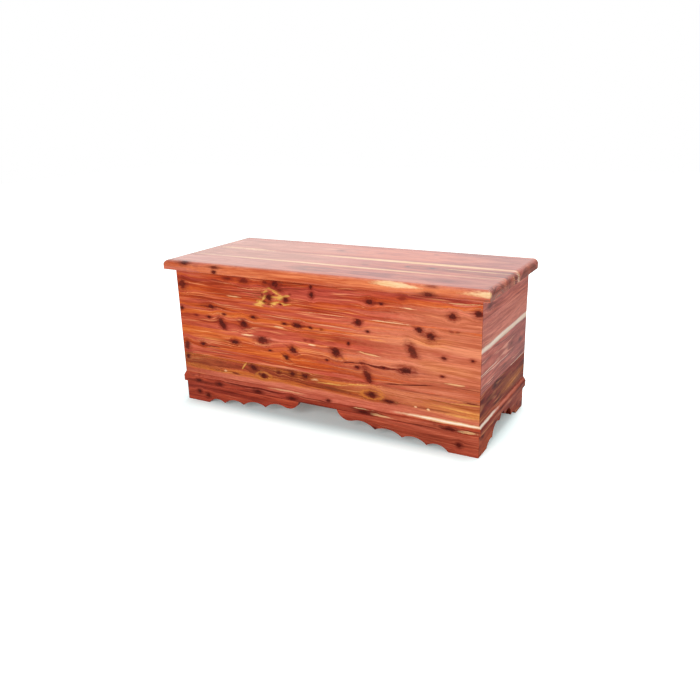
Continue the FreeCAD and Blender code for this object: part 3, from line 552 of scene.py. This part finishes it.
olive_cedar = {"deep": (108, 36, 14), "base": (182, 80, 34), "bright": (212, 122, 54),
               "thin": (230, 154, 90), "rose_deep": (124, 34, 22), "rose": (208, 90, 68),
               "halo": (96, 34, 14), "rim": (206, 120, 50), "lines": 0.75}
bottom_knots = [
    knot(-244, 161, 15, 9, tilt=-20), knot(-205, 139, 12, 9, rim=0.6), knot(-144, 161, 7, 6, dark=0.7),
    knot(-89, 163, 12, 7), knot(-41, 163, 14, 8), knot(198, 140, 15, 10, rim=0.75), knot(258, 128, 19, 6),
    knot(-526, 163, 8, 9), knot(197, 142, 60, 10, dark=0), knot(-228, 150, 55, 9, dark=0),
    knot(-450, 150, 50, 10, dark=0)]
bottom_streaks = [
    streak(-700, 700, 108, 19, "pink", full=0.9, torn=0.6),
    # The warm streak over the right part of this board is painted light.
    streak(120, 900, 112, 18, "warm", full=0.6, torn=0.7),
    streak(-700, -300, 150, 26, "olive", full=0.5, torn=0.7),
    # The warm streak at the end of the next line, over the right part, is painted light.
    streak(-300, 20, 152, 24, "olive", full=0.4), streak(60, 640, 150, 24, "warm", full=0.65, torn=0.8),
    streak(20, 300, 148, 16, "gold", full=0.3, torn=0.8), streak(300, 640, 140, 16, "gold", full=0.6),
    streak(-368, -360, 135, 5, "sap", tilt=20, full=0.8), streak(-372, -356, 136, 1.8, "sap", full=0.8),
    streak(-350, -300, 130, 4.5, "dark"),
    streak(-302, -262, 161, 3, "straw", tilt=50, full=0.8, torn=0.6),
    streak(-20, 14, 156, 4, "sap", full=0.7), streak(-10, 120, 151, 3.2, "straw", tilt=3, full=0.7),
    streak(100, 200, 161, 2.8, "straw", tilt=8, full=0.7), streak(196, 262, 152, 2.8, "gold", tilt=-26),
    streak(340, 350, 127, 3.6, "sap"), streak(381, 391, 125, 3.6, "sap"),
    streak(325, 470, 127, 3, "dark", full=0.6), streak(472, 560, 168, 2.6, "dark"),
    streak(498, 580, 131, 9, "gold", tilt=6), streak(-160, -60, 170, 3, "dark", full=0.7),
    streak(20, 130, 137, 3, "olive"), streak(250, 540, 172, 3, "dark", full=0.2),
    # This warm streak over the right part is painted light.
    streak(150, 700, 172, 9, "warm", full=0.65, torn=0.8),
    streak(370, 640, 124, 12, "gold", full=0.45, torn=0.9),
    streak(430, 545, 121, 4, "straw", full=0.5, torn=1.2), streak(400, 560, 147, 1.8, "olive", tilt=3),
    streak(360, 500, 157, 1.6, "olive", tilt=-3), streak(440, 560, 161, 2.4, "straw", tilt=3, full=0.6),
    streak(400, 560, 139, 2.4, "straw", tilt=-2, full=0.5)]
wall_board("front_wall_bottom_board",
           cedar("front_bottom_cedar", 4, "XZ", (60, 165), bottom_knots, bottom_streaks, olive_cedar, satin))


# ---- End walls and back wall ------------------------------------------------
# The same cedar, glued up from four boards on each side and mitred to the
# front. A band of pale sapwood runs the whole depth of the right end.

dusky_cedar = {"deep": (84, 20, 14), "base": (182, 76, 54), "bright": (226, 122, 98),
               "thin": (230, 150, 126), "rose_deep": (96, 26, 28), "rose": (202, 98, 94),
               "halo": (80, 22, 18), "lines": 0.85}
umber_cedar = {"deep": (60, 8, 2), "base": (136, 40, 18), "bright": (190, 90, 50),
               "thin": (200, 122, 80), "rose_deep": (70, 10, 8), "rose": (162, 58, 42),
               "halo": (54, 8, 4), "lines": 0.8}
dim = {"rough": 0.5, "level": 0.06, "coat": 0.0, "coat_rough": 0.2}
sapwood = streak(-600, 700, 325, 9.5, "cream", torn=0.25)
mitre_line = streak(-508, 91, 280, 1.9, "dark", tilt=90, full=0.8, torn=0.3)
right_end_knots = {
    "top": [knot(-151, 443, 19, 7, dark=0.75)],
    "upper": [],
    "lower": [knot(168, 254, 12, 7, dark=0.8), knot(74, 268, 9, 4, dark=0.5)],
    "bottom": [knot(-78, 181, 14, 9)]}
right_end_streaks = {
    # The second, broad pink streak over the whole top board is painted sheen.
    "top": [streak(-100, 240, 414, 2.5, "pink"), streak(-700, 700, 445, 60, "pink", full=0.3)],
    # The broad pink streak over the whole upper board is painted sheen.
    "upper": [sapwood, streak(-700, 700, 372, 60, "pink", full=0.7)],
    "lower": [
        sapwood, streak(-230, -30, 254, 1.6, "cream", full=0.8, torn=0.7),
        streak(-190, 60, 245, 1.5, "cream", tilt=-1.5, full=0.7, torn=0.7),
        streak(-207, -16, 249, 4, "pink", full=0.6), streak(63, 260, 195, 3, "cream", full=0.6),
        streak(-20, 340, 262, 60, "pink", full=0.2)],
    "bottom": [
        streak(0, 240, 127, 15, "olive"), streak(-60, 260, 150, 12, "olive", full=0.7),
        streak(20, 200, 133, 5, "gold", tilt=3, full=0.7), streak(-220, -100, 120, 12, "olive", full=0.5),
        streak(-30, 260, 142, 8, "gold", tilt=2, full=0.45),
        streak(-120, 120, 165, 7, "gold", tilt=3, full=0.25)]}
right_end_piths = {"top": 470, "upper": 300, "lower": 270, "bottom": 150}
for step, (board, pith) in enumerate(right_end_piths.items()):
    name = "right_wall_" + board + "_board"
    tones, shine = (umber_cedar, dim) if board == "bottom" else (dusky_cedar, satin)
    wood = cedar(name + "_cedar", 11 + step, "YZ", (pith, 480), right_end_knots[board],
                 right_end_streaks[board] + [mitre_line], tones, shine)
    wall_board(name, wood)


def strewn(seed, count, along, across, largest=13):
    """Knots strewn over a board as they fall in any knotty cedar board."""
    chance = random.Random(seed)
    made = []
    for _ in range(count):
        size = chance.uniform(0.35, 1.0) ** 1.5 * largest
        spot = (chance.uniform(*along), chance.uniform(*across))
        made.append(knot(*spot, size * 1.2, size * 0.8, chance.uniform(-25, 25), chance.uniform(0.5, 1.0)))
    return made


def dress(material, *names):
    """Puts a finish on pieces of the frame that keep their own shape."""
    for name in names:
        for slot in nodes[name].material_slots:
            slot.material = material


for step, board in enumerate(("bottom", "lower", "upper", "top")):
    name = "back_wall_" + board + "_board"
    low, high = (corner[2] for corner in corners(name))
    marks = strewn(30 + step, 12, (-530, 530), (low + 10, high - 10))
    band = [streak(-700, 500, high - 12, 7, "sap")] if board == "lower" else []
    wood = cedar(name + "_cedar", 21 + step, "XZ", (low + 60, -170), marks, band, orange_cedar, satin)
    if board == "top":
        dress(wood, name)
    else:
        wall_board(name, wood)
    name = "left_wall_" + board + "_board"
    low, high = (corner[2] for corner in corners(name))
    marks = strewn(40 + step, 5, (-200, 220), (low + 8, high - 8))
    band = [streak(-500, 300, low + 14, 6, "sap")] if board == "upper" else []
    wood = cedar(name + "_cedar", 31 + step, "YZ", (low + 30, -480), marks, band, orange_cedar, satin)
    wall_board(name, wood)


# ---- Skirt: four scalloped boards --------------------------------------------
# One board to each side, flush with the walls above, band-sawn to scallops on
# the front and ends and mitred at the corners, with feet left at its ends.

skirt_cedar = {"deep": (108, 28, 16), "base": (170, 64, 40), "bright": (206, 96, 64),
               "thin": (222, 124, 92), "rose_deep": (114, 32, 22), "rose": (192, 78, 58),
               "halo": (84, 22, 14), "lines": 0.5}
skirt_height = corners("front_skirt")[1][2]
arch_height = corners("front_base_moulding")[0][2]


def arc(start, middle, finish, steps):
    """Points on the circle through three points, without the first."""
    (ax, ay), (bx, by), (cx, cy) = start, middle, finish
    double = 2 * (ax * (by - cy) + bx * (cy - ay) + cx * (ay - by))
    a2, b2, c2 = ax * ax + ay * ay, bx * bx + by * by, cx * cx + cy * cy
    ox = (a2 * (by - cy) + b2 * (cy - ay) + c2 * (ay - by)) / double
    oy = (a2 * (cx - bx) + b2 * (ax - cx) + c2 * (bx - ax)) / double
    first = math.atan2(ay - oy, ax - ox)
    sweep = (math.atan2(cy - oy, cx - ox) - first + math.pi) % (2 * math.pi) - math.pi
    radius = math.hypot(ax - ox, ay - oy)
    turns = [first + sweep * step / steps for step in range(1, steps + 1)]
    return [(ox + radius * math.cos(turn), oy + radius * math.sin(turn)) for turn in turns]


def scalloped(side, foot, gap, scallops, share, rise, depth, crown, hollow_end, lobe, lobe_low, low):
    """Half of an arch's outline, from the foot up over its scallops, hollow and lobe to the gap."""
    growth = 0.14
    edge = half_run[side] - gap
    run = edge - foot
    line, at = [(foot, 0.0)], (foot, 0.0)
    for number in range(1, scallops + 1):
        grown = growth * number * (number - scallops) / 2
        cusp = (foot + run * share / scallops * (number + grown), number * rise)
        line += arc(at, ((at[0] + cusp[0]) / 2, (at[1] + cusp[1]) / 2 + depth), cusp, 14)
        at = cusp
    end_of_hollow = (edge - run * lobe, hollow_end)
    line += arc(at, ((at[0] + end_of_hollow[0]) / 2, crown), end_of_hollow, 16)
    return line + arc(end_of_hollow, (edge - run * lobe_low, low), (edge, arch_height), 18)


def plain_arch(foot, bend):
    """Half of a plain arch's outline: up from the foot and round into the flat."""
    slant = bend * (1 - 0.5 ** 0.5)
    line = [(foot, 0.0), (foot, arch_height - bend)]
    return line + arc(line[-1], (foot + slant, arch_height - slant), (foot + bend, arch_height), 12)


def meshed(name, solid):
    """An object of a solid, to saw or to saw with."""
    mesh = bpy.data.meshes.new(name)
    solid.to_mesh(mesh)
    solid.free()
    made = bpy.data.objects.new(name, mesh)
    bpy.context.scene.collection.objects.link(made)
    return made


def skirt_board(side, half_line, material):
    """Saws the arch out of a mitred board and eases its arrises."""
    end, under_floor, proud = half_run[side], -20.0, 8.0
    line = [(along - end, height) for along, height in half_line]
    line = [(line[0][0], under_floor)] + line
    line = line + [(-along, height) for along, height in reversed(line)]
    saw = loft([[on_side(side, along, inward, height) for along, height in line]
                for inward in (-proud, board_thickness + proud)])
    board = meshed("board", mitred(side, [(0.0, 0.0), (skirt_height, 0.0)]))
    blade = meshed("blade", saw)
    cut = board.modifiers.new("arch", "BOOLEAN")
    cut.operation = "DIFFERENCE"
    cut.object = blade
    solid = bmesh.new()
    solid.from_object(board, bpy.context.evaluated_depsgraph_get())
    for made in (board, blade):
        bpy.data.objects.remove(made)
    bmesh.ops.remove_doubles(solid, verts=solid.verts, dist=0.00001)

    # The sawn arch's arrises: sharp edges on either face, clear of the floor, of
    # the board's top edge and of its ends.
    across = 1 if side in ("front", "back") else 0
    centre = 0.0 if across == 1 else mid_depth / 1000
    faces_at = [abs(on_side(side, 0, inward, 0)[across]) / 1000 for inward in (0.0, board_thickness)]
    touching, off_floor, below_top, clear_of_ends, sharp = 0.00002, 0.0001, 0.08, 60, 0.9
    arrises = []
    for edge in solid.edges:
        ends = [vert.co for vert in edge.verts]
        on_face = any(all(abs(abs(co[across]) - at) < touching for co in ends) for at in faces_at)
        in_arch = off_floor < max(co.z for co in ends) < below_top
        from_middle = max(abs(co[1 - across] - centre) for co in ends) * 1000
        if on_face and in_arch and from_middle < end - clear_of_ends and edge.calc_face_angle(0) > sharp:
            arrises.append(edge)
    bmesh.ops.bevel(solid, geom=arrises, offset=0.0012, segments=2, profile=0.6, affect="EDGES",
                    clamp_overlap=True)
    piece(side + "_skirt_sawn", solid, material, "case", side + "_skirt", 30)


front_skirt_knots = [knot(-489, 36, 9, 7), knot(-451, 27, 10, 8), knot(206, 27, 10, 8), knot(483, 30, 9, 8)]
front_skirt_streaks = [
    # The dark line along the top, just under the moulding, is painted shade, and the faint warm streak over
    # the right part is painted light.
    streak(-700, 700, 70, 2.6, "dark", full=0.6, torn=0.5), streak(60, 900, 42, 40, "warm", full=0.2)]
front_arch = scalloped("front", foot=94, gap=70, scallops=3, share=0.64, rise=8.1, depth=14, crown=43,
                       hollow_end=40.5, lobe=0.162, lobe_low=0.115, low=37)
skirt_board("front", front_arch,
            cedar("front_skirt_cedar", 51, "XZ", (110, 150), front_skirt_knots, front_skirt_streaks,
                  skirt_cedar, satin))
for step, (side, tones, shine) in enumerate((("right", umber_cedar, dim), ("left", skirt_cedar, satin))):
    end_arch = scalloped(side, foot=74, gap=13, scallops=1, share=0.39, rise=14.5, depth=9.5, crown=49.2,
                         hollow_end=46, lobe=0.173, lobe_low=0.128, low=45)
    marks = strewn(52 + step, 3, (-200, 200), (20, 80))
    wood = cedar(side + "_skirt_cedar", 52 + step, "YZ", (110, 0), marks, [], tones, shine)
    skirt_board(side, end_arch, wood)
back_skirt_knots = strewn(53, 5, (-500, 500), (20, 80))
skirt_board("back", plain_arch(foot=94, bend=45),
            cedar("back_skirt_cedar", 54, "XZ", (110, 0), back_skirt_knots, [], skirt_cedar, satin))


# ---- Base moulding -----------------------------------------------------------
# A thin strip of the same cedar with a bevelled top, planted over the joint of
# wall and skirt, mitred at the corners and glued on.

moulding_knots = [
    knot(-483, 80, 14, 6), knot(-391, 80, 12, 7), knot(-228, 79, 16, 8), knot(-91, 78, 17, 7),
    knot(45, 95, 8, 4), knot(174, 80, 24, 6), knot(459, 79, 22, 5)]
moulding_streaks = [
    # The pink band along the bevel is painted highlight.
    streak(-620, 620, 99, 7, "pink", full=0.75, torn=0.5),
    # The thin pink line at the bevel's foot, last on the next line, is painted highlight.
    streak(-190, -30, 100, 3.2, "sap", full=0.6, torn=0.5), streak(-640, 300, 94, 2.2, "pink", torn=0.6),
    # Both dark lines on the next line, along the strip's lower edge and just under the bevel, are painted
    # shade.
    streak(-620, 620, 72, 2.6, "dark", full=0.75, torn=0.5), streak(-620, 620, 89, 1.6, "dark", full=0.5),
    streak(120, 240, 85, 2.6, "dark", full=0.9), streak(390, 540, 84, 2.6, "dark", full=0.9),
    streak(150, 205, 77, 2.4, "dark"), streak(425, 480, 78, 2.4, "dark"),
    streak(-600, -380, 77, 2.6, "dark", full=0.6), streak(280, 640, 99, 6.2, "sap", torn=0.4),
    streak(300, 640, 99, 2.6, "cream", torn=0.4),
    streak(200, 266, 79, 2.1, "sap", tilt=-1, full=0.9, torn=1.7),
    streak(300, 440, 84, 1.3, "pink", full=0.9), streak(474, 532, 78, 2.8, "sap", full=0.9, torn=2.1),
    streak(140, 200, 88, 1.6, "sap", full=0.7, torn=1.5), streak(-320, -120, 84, 1.5, "pink"),
    # The faint warm streak over the right part is painted light, and the dark line just under the bevel is
    # painted shade.
    streak(60, 900, 80, 9, "warm", full=0.3), streak(-620, 700, 91, 1.4, "dark", full=0.6, torn=0.5)]
end_streaks = [
    # The pink band and the cream streak along the bevel are painted highlight.
    streak(-300, 300, 99, 7, "pink", full=0.8, torn=0.5), streak(-330, -20, 99, 4.5, "cream", torn=0.5),
    # The dark lines under the bevel and along the strip's lower edge are painted shade.
    streak(-300, 300, 89, 1.6, "dark", full=0.6), streak(-300, 300, 72, 2.6, "dark", full=0.75, torn=0.5),
    streak(-300, 300, 81, 5, "warm", full=0.3)]
# The section, from the eased lower arris up the flat and the bevel to the wall:
# each point's height, and how far in from the wall's face it lies.
(_, strip_front, strip_low), (_, _, strip_high) = corners("front_base_moulding")
proud = round(outer["front"] - strip_front, 3)
moulding_profile = [(strip_low, 0.6 - proud), (strip_low + 0.25, 0.15 - proud), (strip_low + 0.8, -proud),
                    (strip_high - 13.6, -proud), (strip_high - 12.7, 0.15 - proud),
                    (strip_high - 11.9, 0.55 - proud), (strip_high - 0.7, -1.1), (strip_high - 0.2, -0.75),
                    (strip_high, -0.4)]
front_wood = cedar("front_moulding_cedar", 61, "XZ", (0, 0), moulding_knots, moulding_streaks, skirt_cedar,
                   satin)
end_wood = cedar("end_moulding_cedar", 62, "YZ", (0, 0), [], end_streaks, umber_cedar, dim)
for side, wood in (("front", front_wood), ("back", front_wood), ("left", end_wood), ("right", end_wood)):
    strip = mitred(side, moulding_profile, inner=0.0, arris=1.2)
    piece(side + "_base_moulding_run", strip, wood, "case", side + "_base_moulding")


# ---- Bottom, ledgers and glue blocks -----------------------------------------
# Bare cedar that is never varnished, so that the chest keeps its smell: four
# thin boards laid on ledger strips, with a glue block in each corner below.

bare = {"rough": 0.72, "level": 0.2, "coat": 0.0, "coat_rough": 0.2}
pale_cedar = {"deep": (166, 84, 56), "base": (216, 132, 94), "bright": (236, 166, 124),
              "thin": (240, 182, 146), "rose_deep": (176, 94, 74), "rose": (228, 150, 124),
              "halo": (130, 56, 36), "lines": 0.4}
bottom_board_knots = strewn(71, 16, (-510, 510), (-180, 200))
dress(cedar("bottom_boards_cedar", 71, "X", (0, 40), bottom_board_knots, [], pale_cedar, bare),
      "bottom_board_1", "bottom_board_2", "bottom_board_3", "bottom_board_4")
dress(cedar("ledger_cedar", 72, "X", (0, 160), [], [], pale_cedar, bare), "front_ledger", "back_ledger")
dress(cedar("end_ledger_cedar", 73, "Y", (0, 160), [], [], pale_cedar, bare), "left_ledger", "right_ledger")
dress(cedar("glue_block_cedar", 74, "Z", (300, 300), [], [], pale_cedar, bare),
      "front_left_glue_block", "front_right_glue_block", "back_left_glue_block", "back_right_glue_block")


# ---- Lid: three boards glued edge to edge ------------------------------------
# Thick cedar boards, rounded over with a router on the front and both ends and
# rubbed out to a gloss. Pale sapwood runs along both glue joints.

lid_cedar = {"deep": (132, 46, 28), "base": (192, 88, 58), "bright": (220, 122, 86),
             "thin": (228, 146, 112), "rose_deep": (134, 50, 44), "rose": (208, 108, 94),
             "halo": (104, 34, 22), "lines": 0.5}
gloss = {"rough": 0.4, "level": 0.12, "coat": 0.72, "coat_rough": 0.06}
# The dusk streaks darken the right part of each lid board: painted shade.
dusk = {"front": streak(100, 1100, -150, 90, "dusk", full=0.45),
        "middle": streak(100, 1100, -30, 90, "dusk", full=0.4),
        "back": streak(100, 1100, 140, 90, "dusk", full=0.55)}
sawn_end = streak(556, 700, 0, 400, "warm", full=0.45, torn=1.6)
lid_knots = {
    "front": [
        knot(-482, -233, 17, 12, deep=504, thick=9), knot(-354, -235, 14, 8, dark=0.8, deep=497, thick=5),
        knot(-356, -237, 8, 8, deep=482, thick=6), knot(395, -237, 15, 10, dark=0.9, deep=480, thick=7),
        knot(402, -235, 16, 9, dark=0.6, deep=505, thick=5)],
    "middle": [knot(320, -30, 11, 7), knot(241, -34, 9, 6), knot(106, -59, 10, 7, dark=0.5)],
    "back": [knot(-80, 120, 11, 7, dark=0.6), knot(250, 170, 9, 6, dark=0.5)]}
lid_streaks = {
    "front": [
        streak(-600, 520, -102, 7, "sap", torn=0.4),
        streak(-700, 700, -237, 12, "amber", full=0.9, torn=0.7, deep=492, thick=24),
        streak(-700, 700, -237, 14, "warm", full=0.85, torn=0.8, deep=501, thick=11), dusk["front"],
        sawn_end, streak(552, 640, -196, 34, "dark", full=0.85, torn=2.6),
        streak(556, 640, -132, 12, "dark", full=0.7, torn=2.0),
        streak(560, 640, -180, 60, "cream", full=0.2, torn=1.6, deep=481, thick=9),
        streak(222, 376, -235, 14, "sap", deep=499, thick=10),
        streak(500, 660, -235, 14, "sap", torn=0.8, deep=497, thick=9),
        # The faint pale veil on the left of the top face is painted reflection.
        streak(-900, 120, -160, 110, "cream", full=0.13, torn=0.3, deep=507, thick=5)],
    "middle": [
        streak(-190, 640, 25, 15, "sap", torn=0.4), streak(360, 580, -23, 5, "sap", full=0.8),
        streak(-600, 520, -96, 5, "sap", torn=0.4), streak(-560, -280, 27, 7, "sap"), dusk["middle"],
        sawn_end, streak(552, 640, -66, 9, "dark", full=0.75, torn=2.0),
        streak(552, 640, -6, 9, "dark", full=0.9, torn=2.0),
        streak(556, 640, -36, 16, "warm", full=0.7, torn=1.4),
        streak(556, 640, 20, 13, "cream", full=0.75, torn=0.9),
        streak(-800, 100, -36, 70, "warm", full=0.4),
        # The faint pale veil on the left of the top face is painted reflection.
        streak(-900, 120, -36, 110, "cream", full=0.17, torn=0.3, deep=507, thick=5)],
    "back": [
        streak(-560, -280, 36, 9, "sap"), streak(-300, 130, 166, 5, "pink"),
        streak(-190, 640, 29, 12, "sap", torn=0.4), dusk["back"], sawn_end,
        streak(552, 640, 74, 30, "dark", full=0.65, torn=2.2),
        streak(552, 640, 186, 26, "dark", full=0.5, torn=2.2),
        streak(558, 640, 132, 20, "warm", full=0.7, torn=1.6),
        streak(-800, -100, 120, 80, "warm", full=0.3),
        # The faint pale veil on the left of the top face is painted reflection.
        streak(-900, 100, 120, 110, "cream", full=0.15, torn=0.3, deep=507, thick=5)]}
lid_piths = {"front": (-168, 410), "middle": (-36, 376), "back": (129, 356)}

# The lid's section from its underside up: each level, and how far in it lies.
(lid_left, lid_front, lid_low), (lid_right, _, lid_top) = corners("lid_front_board")
lid_back = corners("lid_back_board")[1][1]
round_over, turned_corner = 16.0, 2.5
lid_profile = [(lid_low, 1.3), (lid_low + 0.4, 0.4), (lid_low + 1.3, 0.0), (lid_low + 14.5, 0.0)]
for step in range(15):
    angle = math.radians(6 * step)
    level = lid_top - round_over + round_over * math.sin(angle)
    lid_profile.append((level, round_over * (1 - math.cos(angle))))
lid_profile += [(lid_top, round_over), (lid_top, round_over + 1.5)]
lid_rings = []
for height, inset in lid_profile:
    side, front = lid_right - inset - turned_corner, lid_front + inset + turned_corner
    bend = [math.radians(18 * step) for step in range(6)]
    left = [(-side - turned_corner * math.cos(turn), front - turned_corner * math.sin(turn))
            for turn in bend]
    outline = [(lid_left + inset, lid_back)] + left + [(-along, across) for along, across in reversed(left)]
    outline.append((lid_right - inset, lid_back))
    lid_rings.append([(along, across, height) for along, across in outline])

# Each board is the whole lid, sawn off at the seams with its neighbours.
front_seam, back_seam = (corner[1] for corner in corners("lid_middle_board"))
seams = {"front": (None, front_seam), "middle": (front_seam, back_seam), "back": (back_seam, None)}
for step, (board, pith) in enumerate(lid_piths.items()):
    solid = loft(lid_rings)
    for seam, outward in zip(seams[board], (-1, 1)):
        if seam is not None:
            parts = list(solid.verts) + list(solid.edges) + list(solid.faces)
            cut = bmesh.ops.bisect_plane(solid, geom=parts, plane_co=(0, seam / 1000, 0),
                                         plane_no=(0, outward, 0), clear_outer=True)
            sawn = [part for part in cut["geom_cut"] if isinstance(part, bmesh.types.BMEdge)]
            bmesh.ops.contextual_create(solid, geom=sawn)
    bmesh.ops.recalc_face_normals(solid, faces=solid.faces)
    name = "lid_" + board + "_board"
    wood = cedar(name + "_cedar", 81 + step, "X", pith, lid_knots[board], lid_streaks[board], lid_cedar,
                 gloss)
    piece(name + "_rounded", solid, wood, "lid", name)


# ---- Lid cleats ---------------------------------------------------------------
# Three bare cedar strips screwed across the underside of the lid, which keep
# its boards flat as the seasons change.

dress(cedar("cleat_cedar", 91, "Y", (0, 300), [], [], pale_cedar, bare),
      "left_lid_cleat", "middle_lid_cleat", "right_lid_cleat")


# ---- Hinge, stays and screws ---------------------------------------------------
# A long brass piano hinge and two slotted brass stays, all stamped from sheet,
# tumbled and lacquered, with a steel pin and steel rivets.

def metal(name, colour, worn, rough, rolled):
    """Sheet metal with fine rolling marks, so many to the metre each way, and a little dulling."""
    material, tree = blank(name)
    place = tree.node("ShaderNodeTexCoord", {}, {}, "Object")
    long_marks = tree.node("ShaderNodeMapping", {}, {"Vector": place, "Scale": rolled})
    marks = tree.node("ShaderNodeTexNoise", {}, {"Vector": long_marks, "Scale": 1.0, "Detail": 3.0})
    cloud = tree.node("ShaderNodeTexNoise", {}, {"Vector": place, "Scale": 60.0, "Detail": 3.0})
    dull = cloud.fade(0.4, 0.7)
    colour = (dull * 0.6).between(paint(*colour), paint(*worn))
    bump = tree.node("ShaderNodeBump", {}, {"Strength": 0.08, "Distance": 0.0001, "Height": marks})
    inputs = {"Base Color": colour, "Metallic": 1.0, "Roughness": dull * 0.12 + marks * 0.1 + rough,
              "Normal": bump}
    skin = tree.node("ShaderNodeBsdfPrincipled", {}, inputs)
    tree.node("ShaderNodeOutputMaterial", {}, {"Surface": skin})
    return material


hinge_brass = metal("hinge_brass", (232, 198, 128), (206, 164, 92), rough=0.26, rolled=(40, 1500, 1500))
stay_brass = metal("stay_brass", (230, 194, 122), (202, 160, 90), rough=0.26, rolled=(1500, 60, 60))
screw_brass = metal("screw_brass", (226, 188, 114), (194, 150, 82), rough=0.28, rolled=(900, 900, 900))
pin_steel = metal("pin_steel", (186, 188, 190), (140, 142, 146), rough=0.25, rolled=(40, 2000, 2000))
dress(hinge_brass, "hinge_case_leaf", "hinge_lid_leaf")
dress(stay_brass, "left_stay_arm", "right_stay_arm", "left_stay_bracket", "right_stay_bracket",
      "left_stay_plate", "right_stay_plate")
dress(screw_brass, "hinge_case_screws", "hinge_lid_screws", "cleat_screws", "stay_bracket_screws",
      "left_stay_plate_screws", "right_stay_plate_screws")
dress(pin_steel, "hinge_pin", "left_stay_rivet", "right_stay_rivet")
